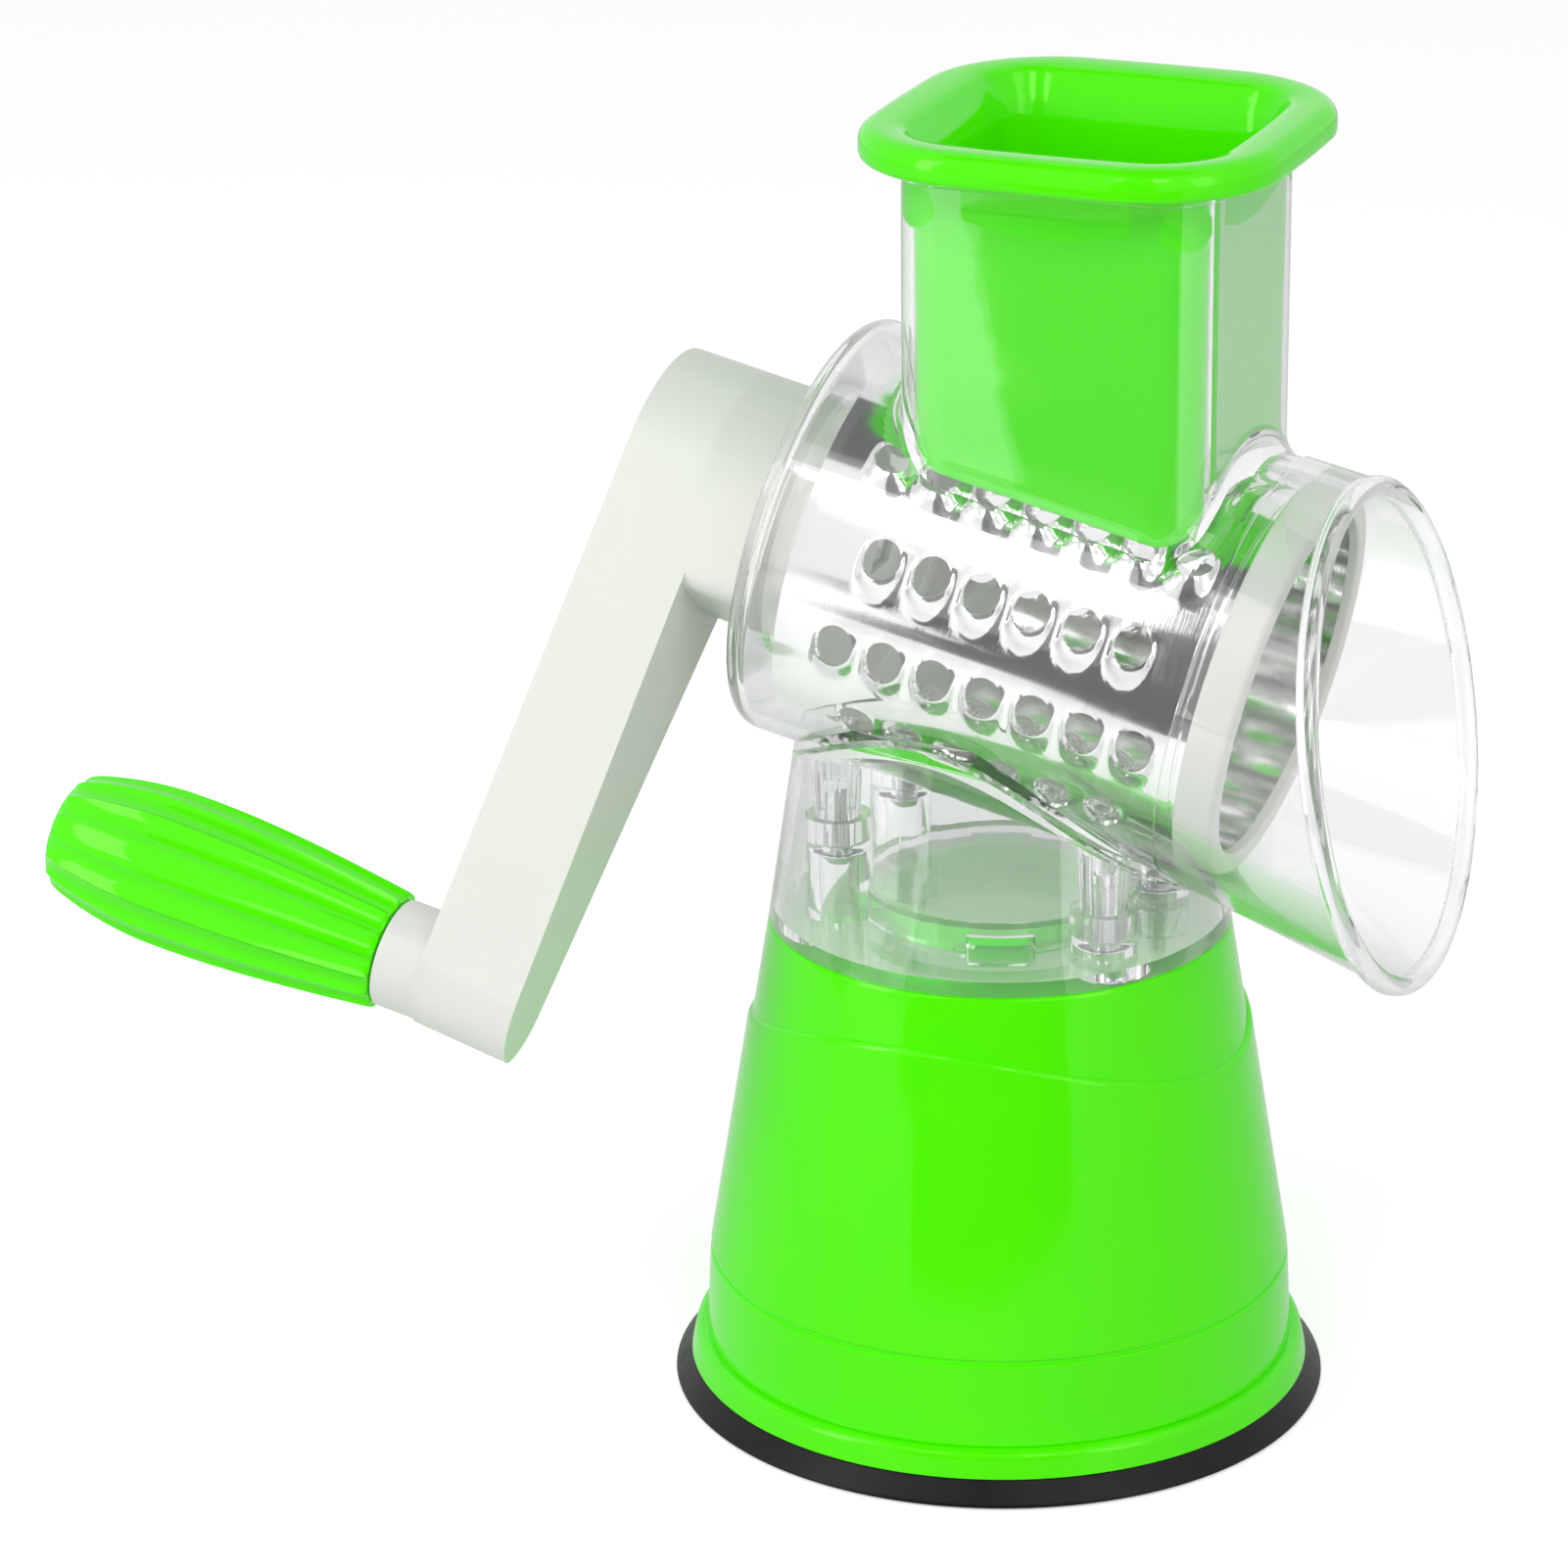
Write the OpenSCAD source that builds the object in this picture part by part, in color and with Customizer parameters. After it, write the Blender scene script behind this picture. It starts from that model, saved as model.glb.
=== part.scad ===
// Rotary vegetable grater on a suction base, with a clear twist-off housing and a tilted drum.
// Lengths are in millimetres. The table is at zero, Z is up and the outlet looks towards +X.

/* [Rubber cup] */
// Radius of the rubber cup on the table
cup_r = 60; // [59:0.5:64]
// Height of the rubber rim under the foot ring
cup_rim_h = 4.3; // [4:0.1:6]
// Thickness of the rubber web between rim and hub
cup_web = 2.4; // [2:0.1:3]
// Radius of the rubber hub that holds the stem's foot
cup_hub_r = 16.5; // [16:0.5:20]
// How far the lever pulls the cup's middle up
cup_lift = 4; // [3:0.25:4.5]

/* [Green base] */
// Radius of the foot ring where it sits on the rubber
foot_r = 57.1; // [56.5:0.1:58.5]
// Height of the foot ring
foot_h = 4.8; // [4.4:0.1:7]
// Radius of the base shell at its lower edge
base_r = 54; // [53.6:0.1:55]
// Height of the steep band at the foot of the shell
band_h = 16.2; // [14:0.2:20]
// Radius of the shell at the top of the band
band_top_r = 53.3; // [52:0.1:53.5]
// Radius of the shell at the seam to the clear housing
seam_r = 41.9; // [41:0.1:44]
// Height of the seam above the table
seam_z = 90.7; // [86:0.5:96]
// Wall of the base shell
shell_wall = 2.4; // [2:0.1:2.6]
// How far the lower skin stands proud below the wave line
skin_step = 0.8; // [0.4:0.1:1.2]
// Highest point of the wave line
wave_high = 80.4; // [76:0.4:84]
// Drop of the wave line from its highest to its lowest point
wave_drop = 11.2; // [8:0.2:13]
// Direction of the wave line's high points
wave_turn = -92; // [-180:1:180]

/* [Suction lever] */
// Direction in which the lever's paddle points at rest
lever_turn = 110; // [105:1:116]
// Angle through which the lever turns
lever_swing = 60; // [50:1:62]
// Radius of the lever's cam ring
cam_r = 22; // [20:0.5:26]
// Width of the lever's arm
lever_w = 14; // [10:0.5:15]
// Thickness of the lever's arm
lever_h = 4; // [3:0.2:4.4]
// Radial length of the paddle outside the shell
paddle_len = 15; // [10:1:22]
// Width of the paddle
paddle_w = 24; // [18:1:30]
// Thickness of the paddle
paddle_h = 8; // [6:0.5:9]

/* [Lift stem] */
// Radius of the stem that lifts the cup
stem_r = 8; // [7:0.25:8.5]
// Wall of the guide tube around the stem
guide_wall = 3; // [2.6:0.1:3.4]
// Radius of the cross pin in the stem
pin_r = 2; // [1.6:0.1:2.2]

/* [Clear lower housing] */
// Radius of the clear wall at the height where it meets the tube's left end
neck_r = 36.8; // [36:0.1:38]
// Height of that place above the seam
neck_h = 34.3; // [32:0.5:38]
// Wall of the clear mouldings
clear_wall = 2.2; // [1.8:0.1:2.4]
// Thickness of the housing's floor
floor_h = 2; // [1.6:0.1:2.6]
// Outer radius of the domed cap over the twist lock
lock_cap_r = 25.6; // [25.2:0.1:26.5]
// Height of the cap over the floor
lock_cap_h = 5.6; // [5.2:0.1:7]
// Angle through which the housing twists to come off
lock_twist = 35; // [32:1:38]
// Half the angle of one locking lug
lug_half = 13; // [10:0.5:14]
// Direction of the first locking lug
lug_turn = -70; // [-75:1:-65]
// Distance of the screw posts from the middle along X
post_x = 25; // [24:0.5:26]
// Distance of the screw posts from the middle along Y
post_y = 15.5; // [14.5:0.5:16.5]
// Radius of the screw posts
post_r = 6; // [5.6:0.1:6.4]

/* [Clear upper housing] */
// Height of the drum axis over the middle of the base
drum_z = 152.7; // [151:0.5:156]
// Angle by which the drum axis falls towards the outlet
drum_tilt = 12.7; // [10:0.1:14]
// Outer radius of the drum tube
tube_r = 38.5; // [38.2:0.1:39.5]
// Length of the tube behind the middle, along the axis
tube_back = 37.2; // [36:0.2:40]
// Length of the tube in front of the middle, along the axis
tube_front = 47; // [46:0.5:48]
// Outer radius of the outlet's rim
outlet_r = 45.5; // [44:0.5:47]
// Distance of the outlet's middle from the base's middle
outlet_x = 72.5; // [71:0.5:76]
// Height of the outlet's middle
outlet_z = 133.6; // [132:0.4:136]
// Angle by which the outlet's rim leans back
outlet_tilt = 10; // [6:1:14]
// Rounding of the bead around the outlet
bead_round = 1.6; // [1.2:0.1:1.8]
// Distance of the chute's middle from the base's middle
chute_x = 17.5; // [16:0.5:18]
// Outer width of the chute
chute_w = 57; // [56:0.5:58]
// Outer corner radius of the chute
chute_corner = 9.5; // [8:0.5:12]
// Height of the chute's upper edge
chute_top = 234.5; // [225:0.5:245]

/* [Pusher] */
// Wall of the pusher
pusher_wall = 2; // [1.6:0.1:2.4]
// Outer width of the pusher's rim
rim_w = 75.4; // [72:0.2:79]
// Height of the pusher's rim
rim_h = 6; // [5:0.25:7]
// Outer corner radius of the rim
rim_corner = 20; // [19:0.5:22]

/* [Drum] */
// Space between the steel drum and the wall of its tube
drum_space = 2.9; // [2.7:0.1:3.2]
// Thickness of the drum's sheet
drum_sheet = 0.6; // [0.5:0.1:0.8]
// Length of the drum behind the middle
drum_back = 29; // [28:0.5:30]
// Radius of a grating hole
hole_r = 3.5; // [2.5:0.1:3.8]
// Spacing of the holes along a row
hole_pitch = 9.4; // [8.6:0.1:9.6]
// Place of the first hole of a long row, behind the middle
hole_first = 17.6; // [17:0.2:18]
// Rows of holes around the drum, an even count
hole_rows = 12; // [8:2:12]
// Holes in a long row, where a short row has one less
row_holes = 7; // [4:1:7]
// Height of a tooth over the drum
tooth_h = 1.6; // [1:0.1:1.8]
// Place of the front ring's front face along the axis
ring_front = 55.6; // [55:0.2:57]
// Length of the front ring
ring_len = 7.3; // [6.5:0.1:8]
// Width of the front ring with its lip
ring_lip_w = 4.2; // [3.8:0.1:5.8]

/* [Crank] */
// Radius of the crank's boss in the housing
boss_r = 22.4; // [21:0.2:23]
// Place of the arm's inner face behind the middle
arm_s = 48.8; // [47:0.2:50]
// Thickness of the arm
arm_t = 18.7; // [17:0.1:20]
// Distance of the grip's axis from the drum's axis
crank_len = 100.5; // [96:0.5:106]
// Radius of the arm's end
arm_end_r = 10.3; // [10.1:0.1:11]
// Distance of the arm's straight edge from its middle line, at the hub
arm_far = 9.6; // [9:0.1:11]
// Angle of the arm from straight down at rest
crank_turn = 38.9; // [0:0.1:60]
// Radius of the neck between arm and grip
neck_pin_r = 9.9; // [9.4:0.1:10]
// Length of the neck
neck_pin_len = 8.6; // [7:0.2:11]

/* [Grip] */
// Length of the grip
grip_len = 65.5; // [62:0.5:72]
// Radius of the grip at the neck
grip_near_r = 11; // [10.5:0.1:12]
// Largest radius of the grip
grip_big_r = 14.3; // [13.5:0.1:15.5]
// Number of flutes around the grip
flutes = 16; // [10:1:18]
// Radius of a flute
flute_r = 1.4; // [1:0.1:1.6]
// Radius of the spindle inside the grip
spindle_r = 5; // [4:0.25:5.5]

/* [Hidden] */
$fn = 72;

// Clearances and overrun
gap = 0.3;
side_gap = 0.4;
run_fit = 0.05;
over = 1;

// Rubber cup
cup_hub_h = 6.6;
cup_lip = 0.6;
cup_seat_w = 7;
cup_slope_w = 2;
foot_disc_r = 13;
foot_disc_h = 2.5;
foot_disc_z = 3;

// Heights of the base
foot_z = cup_rim_h;
cone_z = foot_z + foot_h;
band_z = cone_z + band_h;
plate_top = seam_z - gap;
cone_slope = (band_top_r - skin_step - seam_r) / (plate_top - band_z);
wave_mid_r = seam_r + skin_step + cone_slope * (seam_z - wave_high);
wave_r = (wave_mid_r * wave_mid_r + wave_drop * wave_drop) / (2 * wave_drop);
groove = 0.5;
band_out_r = max(base_r, band_top_r);

// Foot ring, with the web that carries the stem's guide
foot_round = 1.6;
foot_lean = 0.8;
upstand_wall = 2.2;
web_h = 2.2;
web_rise = 1.9;
web_z = cone_z + web_rise;
web_top = web_z + web_h;
upstand_gap = 0.4;
upstand_r = min(base_r, band_at(web_top)) - shell_wall - upstand_gap;
foot_in_r = upstand_r - upstand_wall;
guide_r = stem_r + guide_wall;
web_window_r = 9;
window_turns = [65, 155, 245, 335];

// Screws from the web up into the shell
foot_screw_turns = [10, 75, 200, 290];
foot_screw_in = 5.3;
foot_screw_at = foot_in_r - foot_screw_in;
web_window_in = 13.5;
web_window_at = foot_screw_at - web_window_in;
foot_post_r = 4;
foot_post_h = 13;
foot_screw_r = 1.5;
foot_head_r = 3;
foot_head_h = 2;
foot_screw_len = 11;
rib_w = 2.4;
rib_end_r = band_top_r - skin_step - groove;

// Lever, cam ring and cross pin
lever_z = web_top + gap;
cam_h = 4.5;
cam_foot_h = 2.5;
cam_low_z = lever_z + cam_h + cam_foot_h;
cam_gap = 0.5;
pin_z = cam_low_z + cam_gap + pin_r;
pin_end_in = 3;
pin_len = 2 * (cam_r - pin_end_in);
cam_lead = 14;
cam_steps = 12;
cam_in_gap = 1;
slot_gap = 0.6;
slot_spare = 2;
arm_rise = 0.5;
arm_z = lever_z + arm_rise;
arm_seat = 3;
paddle_seat = 2;
paddle_gap = 2.7;
paddle_round = 5;
guide_over_pin = 2;
guide_top = pin_z + cup_lift + pin_r + guide_over_pin;
stem_top = guide_top + over;

// Twist lock
floor_top = seam_z + floor_h;
spigot_in = 5;
spigot_r = lock_cap_r - spigot_in;
spigot_wall = 2.2;
lug_z = floor_top + gap;
lug_h = 2.2;
cap_wall = 1.6;
cap_in_r = lock_cap_r - cap_wall;
lug_r = cap_in_r - side_gap;
lug_count = 4;
notch_spare = 2;
notch_half = lug_half + notch_spare;
window_spare = 1;
window_half = lug_half + window_spare;
window_h = lug_h + 2 * gap;

// Clear wall of the lower housing
neck_slope = (seam_r - neck_r) / neck_h;
neck_over = 9;
neck_top_z = seam_z + neck_h + neck_over;
saddle_gap = 0.3;
skirt_out = 1.9;
skirt_r = tube_r + skirt_out;
skirt_w = 4.5;
saddle_r = skirt_r + saddle_gap;

// Screw posts and the bosses that stand in them
front_post_h = 9.7;
back_post_h = 21;
boss_seat = 5;
shelf_h = 2;
hang_boss_r = 4;
screw_r = 1.5;
screw_head_r = 3;
screw_head_h = 2.2;
screw_len = 12;
head_bore_r = 3.6;

// Tube, chute and outlet
tube_wall = 2.3;
tube_in_r = tube_r - tube_wall;
drum_r = tube_in_r - drum_space;
tube_round = 4;
collar_len = 3.5;
collar_wall = 2.8;
collar_r = boss_r + collar_wall;
chute_wall = 2.1;
chute_lip = 0.8;
chute_lip_h = 2;
funnel_step = 0.5;
disc_t = 0.1;
outlet_wall = 1.9;
bead_t = 3.4;
bead_w = 3.8;
bead_back_round = 0.8;

// Pusher
pusher_w = chute_w - 2 * chute_wall - 2 * side_gap;
pusher_corner = chute_corner - chute_wall - side_gap;
saddle_clear = 1.2;
pusher_saddle_r = drum_r + tooth_h + saddle_clear;
pusher_floor = 2.2;
rim_z = chute_top + gap;
rim_round = 2.9;
rim_under_round = 1;

// Drum and its rings
ring_lip_t = 2.1;
ring_fit = 0.1;
ring_round = 1.2;
ring_r = tube_in_r - side_gap;
ring_lip_r = ring_r - ring_lip_w;
drum_front = ring_front - ring_lip_t;
plate_t = 2.4;
plate_rim_w = 1.6;
plate_rim_len = 7;
plate_hub_r = 10;
plate_hub_back = 1.6;
plate_hub_front = 4;
row_turn = 79;

// Shaft and screw in the crank; the screw heads have a cross slot
cross_share = 1.4;
boss_wall = 2.9;
boss_front = 31;
hub_tube_r = 7.6;
shaft_r = 5;
shaft_back = 60;
square_w = 9;
square_len = 7.5;
square_fit = 0.1;
screw_web = 3.5;
crank_screw_r = 2.4;
crank_head_r = 5;
crank_head_h = 2.7;
crank_screw_len = 15;
head_clear = 0.5;
hub_floor = 3;

// Grip and what holds it on the spindle
grip_near_s = arm_s + arm_t + neck_pin_len + gap;
grip_far_s = grip_near_s + grip_len;
grip_big_share = 0.69;
grip_end_r = 8.6;
end_recess = 7;
end_recess_r = 8;
spindle_end_s = grip_far_s - end_recess;
grip_washer_r = 7;
grip_washer_h = 1;
grip_screw_r = 2;
grip_head_r = 3.8;
grip_head_h = 2.2;
grip_screw_len = 14;
grip_cap_h = 2;
grip_cap_fit = 0.05;

// Colours
green = [0.30, 0.98, 0.06];
white = [0.91, 0.93, 0.90];
steel = [0.75, 0.76, 0.78];
rubber = [0.05, 0.05, 0.05];
clear = [0.92, 0.95, 0.96, 0.35];

// Radius of the clear housing's wall at height z
function neck_at(z) = seam_r - neck_slope * (z - seam_z);

// Radius of the steep band at height z
function band_at(z) = base_r + (band_top_r - base_r) * (z - cone_z) / band_h;

// Height of the underside of the drum tube at the screw posts on the side x
function tube_under(x) = drum_z - x * tan(drum_tilt)
    - sqrt(tube_r * tube_r - post_y * post_y) / cos(drum_tilt);

// Height of the top of the screw posts on the side x
function post_top(x) = seam_z + (x > 0 ? front_post_h : back_post_h);

// Points of an arc about a centre, from angle a to angle b
function arc(centre, r, a, b, n = 6) =
    [for (i = [0:n]) centre + r * [cos(a + (b - a) * i / n), sin(a + (b - a) * i / n)]];

// Radius of the grip at a share of its length, counted from the neck
function grip_at(share) = share < grip_big_share
    ? grip_near_r + (grip_big_r - grip_near_r) * sin(90 * share / grip_big_share)
    : grip_end_r + (grip_big_r - grip_end_r)
        * sqrt(max(0, 1 - pow((share - grip_big_share) / (1 - grip_big_share), 3)));

// Local z runs along the drum axis towards the outlet and local x points down
module on_axis() {
    translate([0, 0, drum_z]) rotate([0, 90 + drum_tilt, 0]) children();
}

// Local x runs from the drum axis to the grip's axis
module on_crank() {
    on_axis() rotate([0, 0, -crank_turn]) children();
}

// Local z runs away from the drum along the grip's axis, from the middle of the drum
module on_grip() {
    on_crank() translate([crank_len, 0, 0]) mirror([0, 0, 1]) children();
}

module ring(r, r_in, z0, z1) {
    translate([0, 0, z0]) difference() {
        cylinder(r = r, h = z1 - z0);
        translate([0, 0, -over]) cylinder(r = r_in, h = z1 - z0 + 2 * over);
    }
}

module disc(r, z0, z1) {
    translate([0, 0, z0]) cylinder(r = r, h = z1 - z0);
}

// Flat sector from angle a to angle b, wide enough to cut a ring of radius r
module sector(r, a, b) {
    polygon(concat([[0, 0]], arc([0, 0], r, a, b, 8)));
}

module rounded_square(w, r) {
    square([w, w - 2 * r], center = true);
    square([w - 2 * r, w], center = true);
    for (x = [-1, 1], y = [-1, 1]) translate([x, y] * (w / 2 - r)) circle(r);
}

module neck_cone(inset, z0, z1) {
    translate([0, 0, z0]) cylinder(r1 = neck_at(z0) - inset, r2 = neck_at(z1) - inset, h = z1 - z0);
}

module suction_cup() {
    seat_r = foot_r - cup_seat_w;
    color(rubber) difference() {
        rotate_extrude() polygon([[0, 0], [cup_r, 0], [cup_r, cup_lip], [foot_r, cup_rim_h],
            [seat_r, cup_rim_h], [seat_r - cup_slope_w, cup_web], [cup_hub_r + cup_slope_w, cup_web],
            [cup_hub_r, cup_hub_h], [0, cup_hub_h]]);
        disc(foot_disc_r + gap, foot_disc_z - gap, foot_disc_z + foot_disc_h + gap);
        disc(stem_r + gap, foot_disc_z, cup_hub_h + over);
    }
}

module cup_stem() {
    color(white) difference() {
        union() {
            disc(foot_disc_r, foot_disc_z, foot_disc_z + foot_disc_h);
            disc(stem_r, foot_disc_z, stem_top);
        }
        translate([0, 0, pin_z]) rotate([0, 90, lever_turn + 90])
            cylinder(r = pin_r + run_fit, h = 2 * stem_r + 2 * over, center = true);
    }
}

module lift_pin() {
    color(steel) translate([0, 0, pin_z]) rotate([0, 90, lever_turn + 90])
        cylinder(r = pin_r, h = pin_len, center = true);
}

module foot_ring() {
    rise = foot_h - foot_round;
    side_r = foot_r - foot_lean;
    color(green) difference() {
        union() {
            rotate_extrude() polygon(concat([[foot_in_r, foot_z], [foot_r, foot_z]],
                arc([side_r - foot_round, foot_z + rise], foot_round, 0, 90), [[foot_in_r, cone_z]]));
            ring(upstand_r, upstand_r - upstand_wall, cone_z - over, web_top);
            disc(upstand_r - over, web_z, web_top);
            disc(guide_r, web_z, guide_top);
        }
        disc(stem_r + run_fit, web_z - over, guide_top + over);
        for (turn = foot_screw_turns) rotate([0, 0, turn]) translate([foot_screw_at, 0, 0])
            disc(foot_screw_r + run_fit, web_z - over, web_top + over);
        for (turn = window_turns) rotate([0, 0, turn]) translate([web_window_at, 0, 0])
            disc(web_window_r, web_z - over, web_top + over);
        translate([0, 0, cam_low_z - gap]) rotate([0, 0, lever_turn + 90])
            translate([-guide_r - over, -pin_r - side_gap, 0])
            cube([2 * guide_r + 2 * over, 2 * pin_r + 2 * side_gap, guide_top]);
    }
}

module foot_screws() {
    color(steel) for (turn = foot_screw_turns) rotate([0, 0, turn])
        translate([foot_screw_at, 0, web_z]) {
            difference() {
                disc(foot_head_r, -foot_head_h, 0);
                translate([0, 0, -foot_head_h]) for (a = [0, 90]) rotate([0, 0, a])
                    cube([foot_head_r, foot_screw_r / 2, foot_head_h], center = true);
            }
            disc(foot_screw_r, 0, foot_screw_len);
        }
}

// Outer form of the base shell, with the skin proud below the wave line
module shell_form() {
    translate([0, 0, cone_z]) cylinder(r1 = base_r, r2 = band_top_r, h = band_h);
    translate([0, 0, band_z]) cylinder(r1 = band_top_r - skin_step, r2 = seam_r, h = plate_top - band_z);
    intersection() {
        translate([0, 0, band_z]) cylinder(r1 = band_top_r, r2 = seam_r + skin_step, h = plate_top - band_z);
        translate([0, 0, wave_high - wave_r]) rotate([0, 0, wave_turn]) rotate([0, 90, 0])
            cylinder(r = wave_r, h = 2 * cup_r, center = true, $fn = 180);
    }
}

module lock_lugs() {
    ring(spigot_r, spigot_r - spigot_wall, plate_top - over, lug_z + lug_h);
    for (i = [0:lug_count - 1]) rotate([0, 0, lug_turn + i * 360 / lug_count]) intersection() {
        ring(lug_r, spigot_r - over, lug_z, lug_z + lug_h);
        translate([0, 0, lug_z]) linear_extrude(lug_h) sector(2 * lug_r, -lug_half, lug_half);
    }
}

// Space that the lever's arm sweeps through the shell
module lever_slot() {
    half = asin(lever_w / 2 / (base_r - shell_wall)) + slot_spare;
    translate([0, 0, arm_z - slot_gap]) intersection() {
        ring(band_out_r + over, cam_r, 0, lever_h + 2 * slot_gap);
        linear_extrude(lever_h + 2 * slot_gap)
            sector(2 * band_out_r, lever_turn - half, lever_turn + lever_swing + half);
    }
}

module base_shell() {
    hollow_top = plate_top - shell_wall;
    color(green) {
        difference() {
            shell_form();
            translate([0, 0, cone_z - over]) cylinder(r = base_r - shell_wall - run_fit, h = over + run_fit);
            translate([0, 0, cone_z]) cylinder(r1 = base_r - shell_wall, r2 = band_top_r - shell_wall,
                h = band_h);
            translate([0, 0, band_z - run_fit]) cylinder(r1 = band_top_r - shell_wall,
                r2 = seam_r - shell_wall + cone_slope * shell_wall, h = hollow_top - band_z);
            ring(band_top_r + over, band_top_r - groove, band_z - groove, band_z + groove);
            lever_slot();
        }
        lock_lugs();
        for (turn = foot_screw_turns) rotate([0, 0, turn]) difference() {
            union() {
                translate([foot_screw_at, 0, 0]) disc(foot_post_r, web_top, web_top + foot_post_h);
                translate([foot_screw_at, -rib_w / 2, web_top + gap])
                    cube([rib_end_r - foot_screw_at, rib_w, foot_post_h - gap]);
            }
            translate([foot_screw_at, 0, 0])
                disc(foot_screw_r + run_fit, web_top - over, web_z + foot_screw_len + over);
        }
    }
}

// Helical ramp that lifts the pin, sunk into the cam ring below
module cam_ramp() {
    start = 90 + cam_lead;
    total = lever_swing + 2 * cam_lead;
    low = cam_low_z - lever_z - cam_h;
    r_in = guide_r + cam_in_gap;
    r_out = cam_r - cam_in_gap;
    height = function (turned) low + cup_lift * min(1, max(0, (turned - cam_lead) / lever_swing));
    base = -over;
    points = [for (i = [0:cam_steps])
        let (turned = total * i / cam_steps, a = start - turned, h = height(turned))
        each [[r_in * cos(a), r_in * sin(a), base], [r_out * cos(a), r_out * sin(a), base],
            [r_out * cos(a), r_out * sin(a), h], [r_in * cos(a), r_in * sin(a), h]]];
    sides = [for (i = [0:cam_steps - 1], k = [0:3]) let (p = 4 * i + k, q = 4 * i + (k + 1) % 4)
        each [[p, p + 4, q], [q, p + 4, q + 4]]];
    last = 4 * cam_steps;
    ends = [[0, 1, 2], [0, 2, 3], [last, last + 2, last + 1], [last, last + 3, last + 2]];
    polyhedron(points, concat(sides, ends));
}

module suction_lever() {
    out_r = band_at(arm_z + lever_h / 2) + paddle_gap;
    color(green) {
        ring(cam_r, guide_r + run_fit, lever_z, lever_z + cam_h);
        rotate([0, 0, lever_turn]) {
            for (side = [0, 180]) rotate([0, 0, side]) translate([0, 0, lever_z + cam_h]) cam_ramp();
            translate([cam_r - arm_seat, -lever_w / 2, arm_z])
                cube([out_r - cam_r + arm_seat + paddle_seat, lever_w, lever_h]);
            translate([out_r, 0, arm_z + lever_h / 2 - paddle_h / 2]) linear_extrude(paddle_h) {
                translate([0, -paddle_w / 2]) square([paddle_len - paddle_round, paddle_w]);
                translate([0, paddle_round - paddle_w / 2])
                    square([paddle_len, paddle_w - 2 * paddle_round]);
                for (y = [-1, 1]) translate([paddle_len - paddle_round, y * (paddle_w / 2 - paddle_round)])
                    circle(paddle_round);
            }
        }
    }
}

// Clear cap over the lugs, with a window at each lug
module lock_cap() {
    difference() {
        disc(lock_cap_r, seam_z, floor_top + lock_cap_h);
        disc(cap_in_r, seam_z - over, floor_top + lock_cap_h - cap_wall);
        for (i = [0:lug_count - 1]) rotate([0, 0, lug_turn + i * 360 / lug_count])
            translate([0, 0, floor_top - over]) intersection() {
                ring(lock_cap_r + over, cap_in_r - over, 0, window_h + over);
                linear_extrude(window_h + over) sector(2 * lock_cap_r, -window_half, window_half);
            }
    }
}

module lower_housing() {
    opening_r = spigot_r + side_gap;
    color(clear) {
        difference() {
            union() {
                difference() {
                    neck_cone(0, seam_z, neck_top_z);
                    neck_cone(clear_wall, floor_top, neck_top_z + over);
                    disc(cap_in_r, seam_z - over, floor_top + over);
                }
                lock_cap();
                ring(cap_in_r + over, opening_r, seam_z, floor_top);
                for (x = [-post_x, post_x], y = [-post_y, post_y]) translate([x, y, 0])
                    disc(post_r, seam_z, post_top(x));
            }
            disc(cap_in_r, floor_top, floor_top + lock_cap_h - cap_wall);
            for (i = [0:lug_count - 1]) rotate([0, 0, lug_turn - lock_twist + i * 360 / lug_count])
                translate([0, 0, seam_z - over]) linear_extrude(floor_h + 2 * over) intersection() {
                    circle(cap_in_r);
                    sector(2 * lock_cap_r, -notch_half, notch_half);
                }
            for (x = [-post_x, post_x], y = [-post_y, post_y]) translate([x, y, 0]) {
                disc(head_bore_r, seam_z - over, post_top(x) - boss_seat - shelf_h);
                disc(screw_r + gap, seam_z, post_top(x));
                disc(hang_boss_r + gap, post_top(x) - boss_seat, post_top(x) + over);
            }
            on_axis() cylinder(r = saddle_r, h = 4 * tube_front, center = true);
        }
    }
}

// Outlet cone from the tube to the leaning rim
module outlet_form(r_tube, r_rim, past) {
    hull() {
        on_axis() translate([0, 0, tube_front - over]) cylinder(r = r_tube, h = disc_t, $fn = 64);
        translate([outlet_x, 0, outlet_z]) rotate([0, 90 - outlet_tilt, 0])
            translate([0, 0, -disc_t]) cylinder(r = r_rim, h = disc_t + past, $fn = 64);
    }
}

// Rounded bead around the outlet, flat at the back where the cone's wall meets it
module outlet_bead() {
    in_r = outlet_r - bead_w;
    translate([outlet_x, 0, outlet_z]) rotate([0, 90 - outlet_tilt, 0]) translate([0, 0, -bead_t / 2])
        rotate_extrude() polygon(concat([[in_r, bead_back_round], [in_r + bead_back_round, 0]],
            [[outlet_r - bead_back_round, 0], [outlet_r, bead_back_round]],
            arc([outlet_r - bead_round, bead_t - bead_round], bead_round, 0, 90),
            arc([in_r + bead_round, bead_t - bead_round], bead_round, 90, 180)));
}

module tube_form() {
    rotate_extrude() polygon(concat([[0, -tube_back]],
        arc([tube_r - tube_round, tube_round - tube_back], tube_round, -90, 0),
        [[tube_r, tube_front], [0, tube_front]]));
}

module tube_hollow() {
    disc(tube_in_r, clear_wall - tube_back, tube_front - over / 2);
}

module chute_form(w, r, z0, z1) {
    translate([chute_x, 0, z0]) linear_extrude(z1 - z0) rounded_square(w, r);
}

// Band under the tube that closes the joint to the lower housing
module skirt() {
    intersection() {
        difference() {
            neck_cone(0, floor_top, neck_top_z);
            neck_cone(skirt_w, floor_top - over, neck_top_z + over);
        }
        on_axis() ring(skirt_r, tube_r - over, -tube_back - over, tube_front + 4 * over);
    }
}

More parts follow.
